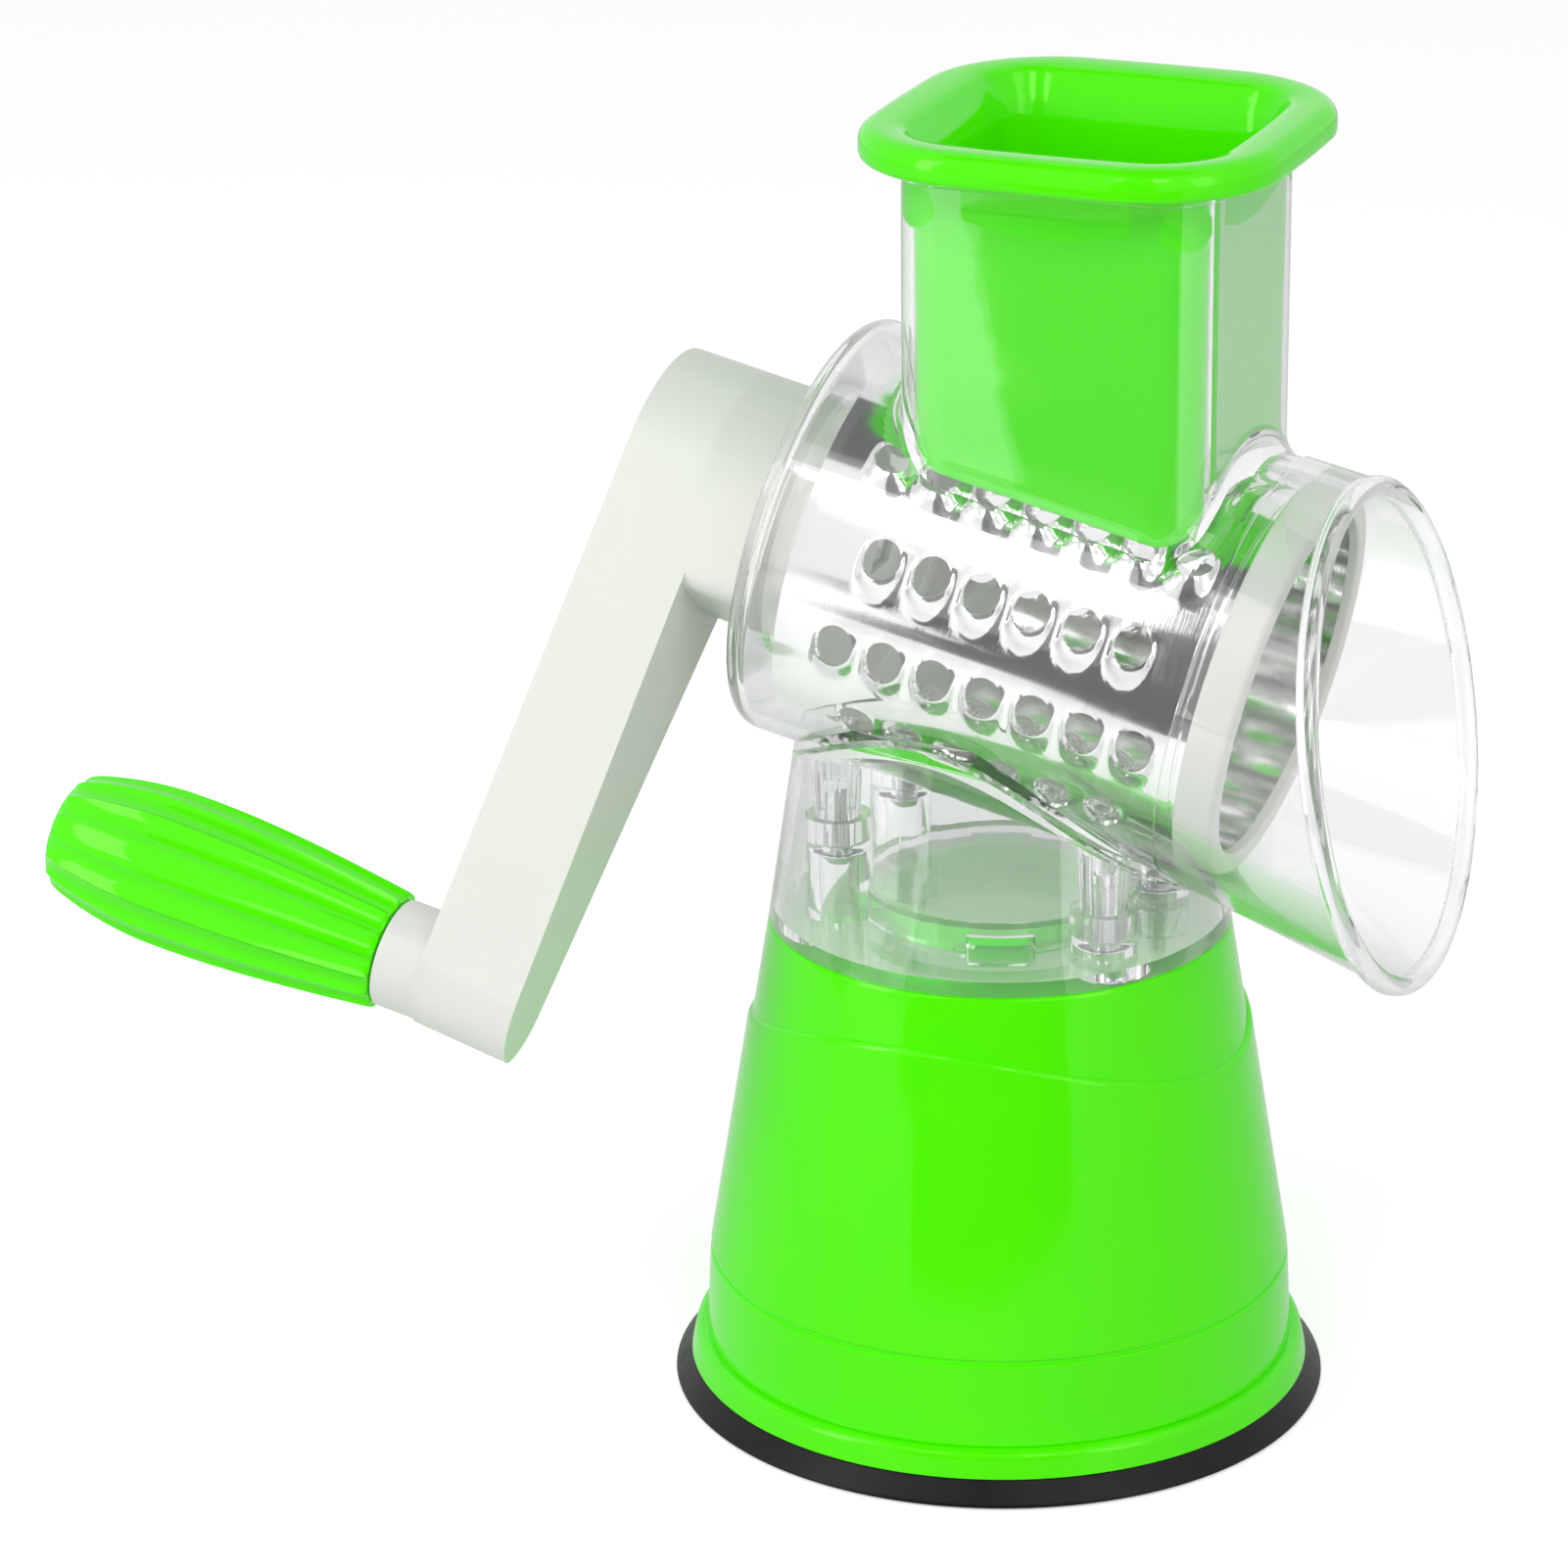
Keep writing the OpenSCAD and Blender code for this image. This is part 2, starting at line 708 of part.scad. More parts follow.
module upper_housing() {
    color(clear) {
        difference() {
            union() {
                on_axis() tube_form();
                outlet_form(tube_r + funnel_step, outlet_r - bead_back_round, 0);
                chute_form(chute_w, chute_corner, drum_z, chute_top);
                chute_form(chute_w + 2 * chute_lip, chute_corner + chute_lip, chute_top - chute_lip_h,
                    chute_top);
                skirt();
                for (x = [-post_x, post_x], y = [-post_y, post_y]) translate([x, y, 0])
                    disc(hang_boss_r, post_top(x) - boss_seat, tube_under(x) + clear_wall);
            }
            on_axis() tube_hollow();
            on_axis() disc(boss_r + run_fit, -tube_back - over, over);
            outlet_form(tube_in_r + funnel_step, outlet_r - bead_back_round - outlet_wall, over);
            chute_form(chute_w - 2 * chute_wall, chute_corner - chute_wall, drum_z, chute_top + over);
            for (x = [-post_x, post_x], y = [-post_y, post_y]) translate([x, y, 0])
                disc(screw_r + run_fit, post_top(x) - boss_seat - over, post_top(x) - boss_seat + screw_len);
        }
        on_axis() ring(collar_r, boss_r + run_fit, -tube_back + over, clear_wall + collar_len - tube_back);
        outlet_bead();
    }
}

module housing_screws() {
    color(steel) for (x = [-post_x, post_x], y = [-post_y, post_y])
        translate([x, y, post_top(x) - boss_seat - shelf_h]) difference() {
            union() {
                intersection() {
                    disc(screw_head_r, -screw_head_h, 0);
                    translate([0, 0, screw_head_r - screw_head_h]) sphere(screw_head_r + gap);
                }
                disc(screw_r, 0, screw_len - over);
                translate([0, 0, screw_len - over]) cylinder(r1 = screw_r, r2 = screw_r / 4, h = over);
            }
            translate([0, 0, -screw_head_h]) for (a = [0, 90]) rotate([0, 0, a])
                cube([screw_head_r, screw_r / 2, screw_head_h], center = true);
        }
}

// Rim section, with its outer edge at x = rim_corner
module rim_section() {
    inner = rim_corner - (rim_w - pusher_w) / 2 - pusher_wall;
    polygon(concat([[inner, 0]],
        arc([rim_corner - rim_under_round, rim_under_round], rim_under_round, -90, 0),
        arc([rim_corner - rim_round, rim_h - rim_round], rim_round, 0, 90),
        arc([inner + rim_round, rim_h - rim_round], rim_round, 90, 180)));
}

module pusher_rim() {
    reach = rim_w / 2 - rim_corner;
    for (a = [0, 90, 180, 270]) rotate([0, 0, a]) {
        translate([reach, reach, 0]) rotate_extrude(angle = 90) rim_section();
        translate([reach, reach, 0]) rotate([90, 0, 0]) linear_extrude(2 * reach) rim_section();
    }
}

module pusher() {
    color(green) difference() {
        union() {
            chute_form(pusher_w, pusher_corner, drum_z, rim_z + rim_h / 2);
            translate([chute_x, 0, rim_z]) pusher_rim();
        }
        difference() {
            chute_form(pusher_w - 2 * pusher_wall, pusher_corner - pusher_wall, drum_z, rim_z + rim_h + over);
            on_axis() cylinder(r = pusher_saddle_r + pusher_floor, h = 4 * tube_front, center = true);
        }
        on_axis() cylinder(r = pusher_saddle_r, h = 4 * tube_front, center = true);
    }
}

// One row of holes; long rows hold one hole more than short ones
module hole_row(long) {
    count = long ? row_holes : row_holes - 1;
    first = long ? -hole_first : hole_pitch / 2 - hole_first;
    for (i = [0:count - 1]) translate([drum_r - 3 * drum_sheet, 0, first + i * hole_pitch])
        rotate([0, 90, 0]) cylinder(r = hole_r, h = 6 * drum_sheet, $fn = 32);
}

module drum() {
    color(steel) on_axis() difference() {
        ring(drum_r, drum_r - drum_sheet, -drum_back, drum_front);
        for (i = [0:hole_rows - 1]) rotate([0, 0, -row_turn + i * 360 / hole_rows])
            hole_row(i % 2 == 0);
    }
}

module drum_front_ring() {
    color(white) on_axis() rotate_extrude() polygon(concat(
        [[drum_r + ring_fit, ring_front - ring_len], [ring_r, ring_front - ring_len]],
        arc([ring_r - ring_round, ring_front - ring_round], ring_round, 0, 90),
        [[ring_lip_r, ring_front], [ring_lip_r, drum_front], [drum_r + ring_fit, drum_front]]));
}

module drum_back_plate() {
    rim_r = drum_r - drum_sheet - ring_fit;
    color(white) on_axis() difference() {
        union() {
            disc(rim_r, -drum_back, plate_t - drum_back);
            ring(rim_r, rim_r - plate_rim_w, -drum_back, plate_rim_len - drum_back);
            disc(plate_hub_r, -drum_back - plate_hub_back, plate_t + plate_hub_front - drum_back);
        }
        translate([0, 0, -drum_back]) cube([square_w + 2 * square_fit, square_w + 2 * square_fit,
            4 * plate_hub_r], center = true);
    }
}

module drive_shaft() {
    color(steel) on_axis() difference() {
        union() {
            disc(shaft_r, -shaft_back, -boss_front);
            translate([-square_w / 2, -square_w / 2, -boss_front])
                cube([square_w, square_w, square_len]);
        }
        disc(crank_screw_r + run_fit, -shaft_back - over, crank_screw_len - shaft_back);
    }
}

// Outline of the arm: one edge touches hub and end as a tangent, the other runs straight
module arm_outline() {
    r_hub = boss_r - run_fit;
    r_end = arm_end_r - run_fit;
    lean = acos((boss_r - arm_end_r) / crank_len);
    polygon([[r_hub * cos(lean), -r_hub * sin(lean)],
        [crank_len + r_end * cos(lean), -r_end * sin(lean)],
        [crank_len, r_end], [0, arm_far - run_fit]]);
}

module crank_arm() {
    outer_s = arm_s + arm_t;
    color(white) difference() {
        union() {
            on_crank() translate([0, 0, -outer_s]) linear_extrude(arm_t) {
                circle(boss_r);
                translate([crank_len, 0]) circle(arm_end_r);
                arm_outline();
            }
            on_crank() disc(boss_r, -outer_s, -boss_front);
            on_grip() disc(neck_pin_r, outer_s - over, outer_s + neck_pin_len);
            on_grip() disc(spindle_r, outer_s, spindle_end_s);
        }
        on_crank() ring(boss_r - boss_wall, hub_tube_r, hub_floor - arm_s, over - boss_front);
        on_crank() disc(shaft_r + run_fit, -shaft_back, over - boss_front);
        on_crank() disc(crank_screw_r + gap, -outer_s, -shaft_back + over);
        on_crank() disc(crank_head_r + head_clear, -outer_s - over, -shaft_back - screw_web);
        on_grip() disc(grip_screw_r + run_fit, spindle_end_s - grip_screw_len - over, spindle_end_s + over);
    }
}

module crank_screw() {
    seat = -shaft_back - screw_web;
    color(steel) on_axis() {
        difference() {
            disc(crank_head_r, seat - crank_head_h, seat);
            translate([0, 0, seat - crank_head_h]) for (a = [0, 90]) rotate([0, 0, a])
                cube([cross_share * crank_head_r, crank_screw_r / 2, crank_head_h], center = true);
        }
        disc(crank_screw_r, seat, seat + crank_screw_len);
    }
}

module grip() {
    n = 22;
    lean = atan((grip_big_r - grip_near_r) / (grip_big_share * grip_len));
    color(green) on_grip() difference() {
        rotate_extrude() polygon(concat([[0, grip_near_s]],
            [for (i = [0:n]) [grip_at(i / n), grip_near_s + grip_len * i / n]],
            [[0, grip_far_s]]));
        disc(spindle_r + run_fit, grip_near_s - over, grip_far_s);
        disc(end_recess_r, spindle_end_s - gap, grip_far_s + over);
        for (i = [0:flutes - 1]) rotate([0, 0, i * 360 / flutes])
            translate([grip_near_r + flute_r / 2, 0, grip_near_s - over]) rotate([0, lean, 0])
            cylinder(r = flute_r, h = grip_len + 2 * over, $fn = 24);
    }
}

module grip_washer() {
    color(steel) on_grip()
        ring(grip_washer_r, grip_screw_r + gap, spindle_end_s, spindle_end_s + grip_washer_h);
}

module grip_screw() {
    seat = spindle_end_s + grip_washer_h;
    color(steel) on_grip() {
        difference() {
            disc(grip_head_r, seat, seat + grip_head_h);
            translate([0, 0, seat + grip_head_h]) for (a = [0, 90]) rotate([0, 0, a])
                cube([cross_share * grip_head_r, grip_screw_r / 2, grip_head_h], center = true);
        }
        disc(grip_screw_r, seat - grip_screw_len, seat);
    }
}

module grip_cap() {
    color(green) on_grip() disc(end_recess_r - grip_cap_fit, grip_far_s - grip_cap_h, grip_far_s);
}

suction_cup();
cup_stem();
lift_pin();
foot_ring();
foot_screws();
base_shell();
suction_lever();
lower_housing();
upper_housing();
housing_screws();
pusher();
drum();
drum_front_ring();
drum_back_plate();
drive_shaft();
crank_arm();
crank_screw();
grip();
grip_washer();
grip_screw();
grip_cap();
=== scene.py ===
"""Rotary vegetable grater: the looks of each piece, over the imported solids.

Lengths are in millimetres, and those of the floor, the lamps and the camera in metres.
"""

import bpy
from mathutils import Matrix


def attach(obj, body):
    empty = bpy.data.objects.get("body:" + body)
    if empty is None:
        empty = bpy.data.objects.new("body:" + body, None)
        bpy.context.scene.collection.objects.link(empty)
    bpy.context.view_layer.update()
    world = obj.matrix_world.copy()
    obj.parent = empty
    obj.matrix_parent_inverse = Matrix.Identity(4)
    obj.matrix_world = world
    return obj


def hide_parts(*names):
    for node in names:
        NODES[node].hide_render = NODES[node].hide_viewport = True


bl_info = {
    "name": "Rotary vegetable grater",
    "version": (1, 0, 0),
    "blender": (4, 5, 0),
    "location": "View3D > Sidebar > Grater",
    "description": "Models a hand-cranked drum grater on a suction base, piece by piece",
    "category": "Object",
}

import math

import bpy
from mathutils import Matrix, Vector

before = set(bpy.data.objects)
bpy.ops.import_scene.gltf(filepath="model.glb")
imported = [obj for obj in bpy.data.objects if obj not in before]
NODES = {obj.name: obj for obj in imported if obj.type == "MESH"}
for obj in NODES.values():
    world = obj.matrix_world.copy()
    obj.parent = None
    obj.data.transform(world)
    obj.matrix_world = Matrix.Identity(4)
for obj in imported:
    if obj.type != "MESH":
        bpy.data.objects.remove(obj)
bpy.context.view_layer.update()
MM = 0.001

# The drum's axis falls towards the outlet; s runs along it from the middle of the base
DRUM_Z, TILT = 152.7, math.radians(12.7)
ALONG = Vector((math.cos(TILT), 0, -math.sin(TILT)))
SIDE = Vector((0, 1, 0))
DOWN = Vector((-math.sin(TILT), 0, -math.cos(TILT)))
MIDDLE = Vector((0, 0, DRUM_Z))
# The crank's angle at rest and the distance from the drum's axis to the grip's
CRANK_TURN, CRANK_LEN = math.radians(38.9), 100.5
# The clear tube's radius outside and inside, and the chute's middle along x
TUBE_R, TUBE_IN, CHUTE_X = 38.5, 36.2, 17.5
# The seam between the green cone and the clear one
SEAM_Z, SEAM_R = 90.4, 41.9


# Places


def on_drum(r, turn, s):
    """The point at radius r and angle turn, from straight down towards the far side, at s along the drum."""
    return MIDDLE + ALONG * s + (DOWN * math.cos(turn) + SIDE * math.sin(turn)) * r


def over_drum(r, x, y):
    """The height over (x, y) of the cylinder of radius r about the drum's axis."""
    return DRUM_Z + (math.sqrt(r * r - y * y) - x * math.sin(TILT)) / math.cos(TILT)


def upright(x, y):
    """The places round the upright line at (x, y), by radius, angle and height."""
    return lambda r, a, h: Vector((x + r * math.cos(a), y + r * math.sin(a), h))


def on_crank(x, y, s):
    """The point at x from the drum's axis towards the grip's, y square to that, and s along the drum."""
    out = DOWN * math.cos(CRANK_TURN) - SIDE * math.sin(CRANK_TURN)
    across = DOWN * math.sin(CRANK_TURN) + SIDE * math.cos(CRANK_TURN)
    return MIDDLE + ALONG * s + out * x + across * y


def on_grip(r, turn, far):
    """The point at radius r and angle turn round the grip's axis, that far behind the base's middle."""
    return on_crank(CRANK_LEN + r * math.cos(turn), r * math.sin(turn), -far)


def rounded(points, steps=5):
    """The outline through points (x, y, radius), with an arc at each corner that has a radius."""
    out = []
    for i, (x, y, r) in enumerate(points):
        p = Vector((x, y))
        if not r:
            out.append(p)
            continue
        a, b = Vector(points[i - 1][:2]) - p, Vector(points[(i + 1) % len(points)][:2]) - p
        half = a.angle(b) / 2
        reach = min(r / math.tan(half), a.length * 0.499, b.length * 0.499)
        radius = reach * math.tan(half)
        centre = p + (a.normalized() + b.normalized()).normalized() * (radius / math.sin(half))
        start, end = p + a.normalized() * reach - centre, p + b.normalized() * reach - centre
        turn = start.angle_signed(end)
        out += [centre + Matrix.Rotation(-turn * k / steps, 2) @ start for k in range(steps + 1)]
    return [(v.x, v.y) for v in out]


# Modelling


def alone(obj):
    """Selects this object and nothing else."""
    bpy.ops.object.select_all(action="DESELECT")
    obj.select_set(True)
    bpy.context.view_layer.objects.active = obj
    return obj


def closed_up(obj, near=0.004, recalc=True):
    """Merges the doubles of a mesh and, with recalc, turns its faces outwards."""
    alone(obj)
    bpy.ops.object.mode_set(mode="EDIT")
    bpy.ops.mesh.select_all(action="SELECT")
    bpy.ops.mesh.remove_doubles(threshold=near * MM)
    if recalc:
        bpy.ops.mesh.normals_make_consistent(inside=False)
    bpy.ops.object.mode_set(mode="OBJECT")
    return obj


def squarish(half, corner, bulge, share):
    """A point at that share of the way round a square with round corners.

    half is its half width, corner the corners' radius, and bulge how far its sides bow out.
    """
    # A quarter runs over half a side in 0.3 of its points, the corner in 0.4 and half a side again
    quarter, u = divmod(share * 4 % 4, 1)
    flat = half - corner
    if u < 0.3:
        x, y = half, flat * u / 0.3
    elif u < 0.7:
        a = (u - 0.3) / 0.4 * math.pi / 2
        x, y = flat + corner * math.cos(a), flat + corner * math.sin(a)
    else:
        x, y = flat * (1 - u) / 0.3, half
    if half:
        x, y = x + bulge * (1 - (y / half) ** 2), y + bulge * (1 - (x / half) ** 2)
    for _ in range(int(quarter)):
        x, y = -y, x
    return x, y


def wrapped(name, rows, turns, place, near=0.004):
    """A grid of rows by turns faces, moved to place(row, turn) and welded where it meets itself."""
    bpy.ops.object.select_all(action="DESELECT")
    bpy.ops.mesh.primitive_grid_add(x_subdivisions=turns, y_subdivisions=rows, size=1)
    obj = bpy.context.object
    obj.name = name
    flat = [c for j in range(rows + 1) for i in range(turns + 1) for c in place(j, i) * MM]
    obj.data.vertices.foreach_set("co", flat)
    obj.data.update()
    return closed_up(obj, near)


def lathed(name, outline, turns=160, at=upright(0, 0), reach=None):
    """Turns a closed outline of (radius, height) about an axis.

    at(r, turn, h) gives the place, and reach(r, turn, h) a changed radius.
    """
    loop = list(outline) + ([outline[0]] if outline[0][0] or outline[-1][0] else [])

    def place(j, i):
        r, h = loop[j]
        a = 2 * math.pi * (i % turns) / turns
        return at(reach(r, a, h) if reach else r, a, h)

    return wrapped(name, len(loop) - 1, turns, place)


def straight(x, y, z):
    """The place as it is."""
    return Vector((x, y, z))


def sector(inner, outer, start, sweep, steps):
    """The outline of a piece of a flat ring that starts at that angle and goes on for sweep degrees."""
    turns = [math.radians(start + sweep * k / steps) for k in range(steps + 1)]
    return ([(inner * math.cos(a), inner * math.sin(a)) for a in turns]
            + [(outer * math.cos(a), outer * math.sin(a)) for a in reversed(turns)])


def prism(name, outline, low, high, at=straight):
    """A straight solid with that outline between low and high, moved to at(x, y, z)."""
    bpy.ops.object.select_all(action="DESELECT")
    bpy.ops.mesh.primitive_circle_add(vertices=len(outline), radius=1, fill_type="NGON")
    obj = bpy.context.object
    obj.name = name
    for v, (x, y) in zip(obj.data.vertices, outline):
        v.co = Vector((x, y, low)) * MM
    bpy.ops.object.mode_set(mode="EDIT")
    bpy.ops.mesh.select_all(action="SELECT")
    bpy.ops.mesh.extrude_region_move(TRANSFORM_OT_translate={"value": (0, 0, (high - low) * MM)})
    bpy.ops.object.mode_set(mode="OBJECT")
    for v in obj.data.vertices:
        v.co = at(*(v.co / MM)) * MM
    return closed_up(obj)


def modified(obj, kind, **settings):
    """Adds one modifier and applies it."""
    alone(obj)
    modifier = obj.modifiers.new(kind.title(), kind)
    for key, value in settings.items():
        setattr(modifier, key, value)
    bpy.ops.object.modifier_apply(modifier=modifier.name)
    return obj


def joined(obj, others):
    """One object of several that don't need to be cut by each other."""
    bpy.ops.object.select_all(action="DESELECT")
    for member in [*others, obj]:
        member.select_set(True)
    bpy.context.view_layer.objects.active = obj
    bpy.ops.object.join()
    return obj


def cut(obj, tool, how="DIFFERENCE"):
    """Takes another solid away, adds it or keeps what both share. The other one is used up."""
    modified(obj, "BOOLEAN", object=tool, operation=how, solver="MANIFOLD")
    bpy.data.objects.remove(tool)
    return obj


def smoothed(obj, angle=32, weighted=True):
    """Smooth shading up to that angle; with weighted, the flat faces are kept flat."""
    alone(obj)
    bpy.ops.object.shade_smooth_by_angle(angle=math.radians(angle))
    if weighted:
        modified(obj, "WEIGHTED_NORMAL", keep_sharp=True, weight=60)
    return obj


def copy_of(node, name, bevel=0.35, angle=38, dissolve=0.6):
    """A welded copy of a solid, its flat faces made whole and its edges broken as a mould leaves them."""
    obj = NODES[node].copy()
    obj.data = NODES[node].data.copy()
    obj.parent = None
    for key in [k for k in obj.keys() if k.startswith("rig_")]:
        del obj[key]
    obj.name = name
    bpy.context.scene.collection.objects.link(obj)
    obj.data.materials.clear()
    closed_up(obj, 0.002, recalc=False)
    bpy.ops.object.mode_set(mode="EDIT")
    bpy.ops.mesh.select_all(action="SELECT")
    bpy.ops.mesh.customdata_custom_splitnormals_clear()
    bpy.ops.mesh.dissolve_limited(angle_limit=math.radians(dissolve))
    bpy.ops.object.mode_set(mode="OBJECT")
    if bevel:
        modified(obj, "BEVEL", width=bevel * MM, segments=3, limit_method="ANGLE",
                 angle_limit=math.radians(angle), use_clamp_overlap=True, miter_outer="MITER_ARC")
    return obj


def piece(obj, body, slot, material, *nodes):
    """Hands a finished object over: its material, its body and the solids that it stands for."""
    obj.data.materials.clear()
    obj.data.materials.append(material)
    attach(obj, body)
    if nodes:
        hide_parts(*nodes)
    return obj


# Materials


def linear(code):
    """sRGB hex to the linear colour that the shaders read."""
    parts = [int(code[i:i + 2], 16) / 255 for i in (1, 3, 5)]
    return (*[c / 12.92 if c <= 0.04045 else ((c + 0.055) / 1.055) ** 2.4 for c in parts], 1.0)


def put(tree, kind, links=None, **settings):
    """Adds one node. Settings are its own properties.

    links maps an input's name or number to a value, or to the socket that feeds it.
    """
    node = tree.nodes.new(kind)
    for key, value in settings.items():
        setattr(node, key, value)
    for key, value in (links or {}).items():
        if isinstance(value, bpy.types.NodeSocket):
            tree.links.new(value, node.inputs[key])
        else:
            node.inputs[key].default_value = value
    return node


def blank(name):
    """A new material with nodes and nothing in it."""
    made = bpy.data.materials.new(name)
    made.use_nodes = True
    made.node_tree.nodes.clear()
    return made, made.node_tree


def grain(tree, size_mm, detail=3.0, stretch=(1, 1, 1), rough=0.55):
    """Noise on the piece's own coordinates, with lumps of about size_mm.

    stretch multiplies the coordinates, along the drum's axis first.
    """
    where = put(tree, "ShaderNodeTexCoord")
    turned = put(tree, "ShaderNodeMapping", {"Vector": where.outputs["Object"], "Rotation": (0, -TILT, 0)})
    spread = put(tree, "ShaderNodeMapping", {"Vector": turned.outputs["Vector"], "Scale": tuple(stretch)})
    return put(tree, "ShaderNodeTexNoise", {
        "Vector": spread.outputs["Vector"], "Scale": 1 / (size_mm * MM), "Detail": detail,
        "Roughness": rough})


def moulded(name, dark, light, roughness, ripple, ripple_mm, level, glow=0.0):
    """Moulded plastic: uneven gloss from the tool, faint flow marks in the colour and a shallow ripple."""
    flow_mm, ripple_m, ior = 22, 0.0002, 1.53
    # Reflections lean to yellow, which keeps the lime from turning bluish under a white room
    warm = (1, 1, 0.55, 1)
    made, tree = blank(name)
    flow = grain(tree, flow_mm, 2.0)
    fine = grain(tree, ripple_mm, 2.0)
    colour = put(tree, "ShaderNodeMix", {0: flow.outputs["Fac"], 6: dark, 7: light}, data_type="RGBA")
    bump = put(tree, "ShaderNodeBump", {
        "Height": fine.outputs["Fac"], "Strength": ripple, "Distance": ripple_m})
    gloss = put(tree, "ShaderNodeMapRange", {
        "Value": flow.outputs["Fac"], "To Min": roughness * 0.8, "To Max": roughness * 1.25})
    shader = put(tree, "ShaderNodeBsdfPrincipled", {
        "Base Color": colour.outputs[2], "Roughness": gloss.outputs["Result"], "IOR": ior,
        "Specular IOR Level": level, "Specular Tint": warm, "Normal": bump.outputs["Normal"]})
    if glow:
        # Light spreads a few millimetres under the skin
        shader.inputs["Subsurface Weight"].default_value = glow
        shader.inputs["Subsurface Radius"].default_value = (0.004, 0.004, 0.003)
        shader.inputs["Subsurface Scale"].default_value = 0.6
    put(tree, "ShaderNodeOutputMaterial", {"Surface": shader.outputs["BSDF"]})
    return made


def clear_styrene(name, tint, edge):
    """Clear moulded polystyrene: sharp reflections, a faint ripple, and lamps shine through it."""
    roughness, flow_mm, ripple_m, ior, coat_ior = 0.02, 9, 0.0004, 1.45, 1.57
    made, tree = blank(name)
    flow = grain(tree, flow_mm, 1.0)
    bump = put(tree, "ShaderNodeBump", {
        "Height": flow.outputs["Fac"], "Strength": 0.08, "Distance": ripple_m})
    # Seen edge on, the plastic's own grey shows
    rim = put(tree, "ShaderNodeLayerWeight", {"Blend": 0.5})
    rim = put(tree, "ShaderNodeMath", {0: rim.outputs["Facing"], 1: 2.6}, operation="POWER")
    colour = put(tree, "ShaderNodeMix", {0: rim.outputs["Value"], 6: tint, 7: edge}, data_type="RGBA")
    # Painted reflection: towards the bottom a little less light goes straight through, and the milky white
    # that shows instead lightens the lower moulding as reflections would
    veiled_below_m, clean_m, veiled, clean = 0.094, 0.145, 0.925, 0.986
    where = put(tree, "ShaderNodeTexCoord")
    height = put(tree, "ShaderNodeSeparateXYZ", {"Vector": where.outputs["Object"]})
    painted_veil = put(tree, "ShaderNodeMapRange", {
        "Value": height.outputs["Z"], "From Min": veiled_below_m, "From Max": clean_m,
        "To Min": veiled, "To Max": clean})
    gloss = put(tree, "ShaderNodeMapRange", {
        "Value": flow.outputs["Fac"], "To Min": roughness * 0.5, "To Max": roughness * 1.5})
    shader = put(tree, "ShaderNodeBsdfPrincipled", {
        "Base Color": colour.outputs[2], "Roughness": gloss.outputs["Result"], "IOR": ior,
        "Transmission Weight": painted_veil.outputs["Result"], "Coat Weight": 0.6, "Coat Roughness": 0.03,
        "Coat IOR": coat_ior, "Normal": bump.outputs["Normal"]})
    through = put(tree, "ShaderNodeBsdfTransparent", {"Color": linear("#FCFCFC")})
    ray = put(tree, "ShaderNodeLightPath")
    either = put(tree, "ShaderNodeMath", {0: ray.outputs["Is Shadow Ray"], 1: ray.outputs["Is Diffuse Ray"]},
                 operation="MAXIMUM")
    # Past two walls, or turned back twice, the light runs straight on, so the edges stay grey and not black
    for depth, limit in (("Ray Depth", 4.5), ("Glossy Depth", 1.5)):
        deep = put(tree, "ShaderNodeMath", {0: ray.outputs[depth], 1: limit}, operation="GREATER_THAN")
        either = put(tree, "ShaderNodeMath", {0: either.outputs["Value"], 1: deep.outputs["Value"]},
                     operation="MAXIMUM")
    both = put(tree, "ShaderNodeMixShader", {
        0: either.outputs["Value"], 1: shader.outputs["BSDF"], 2: through.outputs["BSDF"]})
    put(tree, "ShaderNodeOutputMaterial", {"Surface": both.outputs["Shader"]})
    return made


def sheet_steel(name, colour, roughness, line_mm, along, strength):
    """Steel with the fine lines of its rolling or polishing."""
    cloud_mm, line_depth_m = 14, 0.00005
    made, tree = blank(name)
    lines = grain(tree, line_mm, 4.0, along, 0.7)
    cloud = grain(tree, cloud_mm, 3.0)
    bump = put(tree, "ShaderNodeBump", {
        "Height": lines.outputs["Fac"], "Strength": strength, "Distance": line_depth_m})
    mixed = put(tree, "ShaderNodeMath", {0: lines.outputs["Fac"], 1: cloud.outputs["Fac"]},
                operation="MULTIPLY")
    gloss = put(tree, "ShaderNodeMapRange", {
        "Value": mixed.outputs["Value"], "To Min": roughness * 0.5, "To Max": roughness * 2.2})
    shader = put(tree, "ShaderNodeBsdfPrincipled", {
        "Base Color": colour, "Metallic": 1.0, "Roughness": gloss.outputs["Result"],
        "Normal": bump.outputs["Normal"]})
    put(tree, "ShaderNodeOutputMaterial", {"Surface": shader.outputs["BSDF"]})
    return made


def moulded_rubber(name, dark, dusty):
    """Moulded rubber: a dull satin skin with a fine grain, and paler dust in the lows."""
    dust_mm, grain_mm, grain_depth_m, ior = 6, 0.6, 0.0001, 1.3
    made, tree = blank(name)
    dust = grain(tree, dust_mm, 4.0)
    fine = grain(tree, grain_mm, 3.0)
    colour = put(tree, "ShaderNodeMix", {0: dust.outputs["Fac"], 6: dark, 7: dusty}, data_type="RGBA")
    bump = put(tree, "ShaderNodeBump", {
        "Height": fine.outputs["Fac"], "Strength": 0.25, "Distance": grain_depth_m})
    gloss = put(tree, "ShaderNodeMapRange", {"Value": dust.outputs["Fac"], "To Min": 0.3, "To Max": 0.5})
    shader = put(tree, "ShaderNodeBsdfPrincipled", {
        "Base Color": colour.outputs[2], "Roughness": gloss.outputs["Result"],
        "IOR": ior, "Normal": bump.outputs["Normal"]})
    put(tree, "ShaderNodeOutputMaterial", {"Surface": shader.outputs["BSDF"]})
    return made


FINISHES = {}


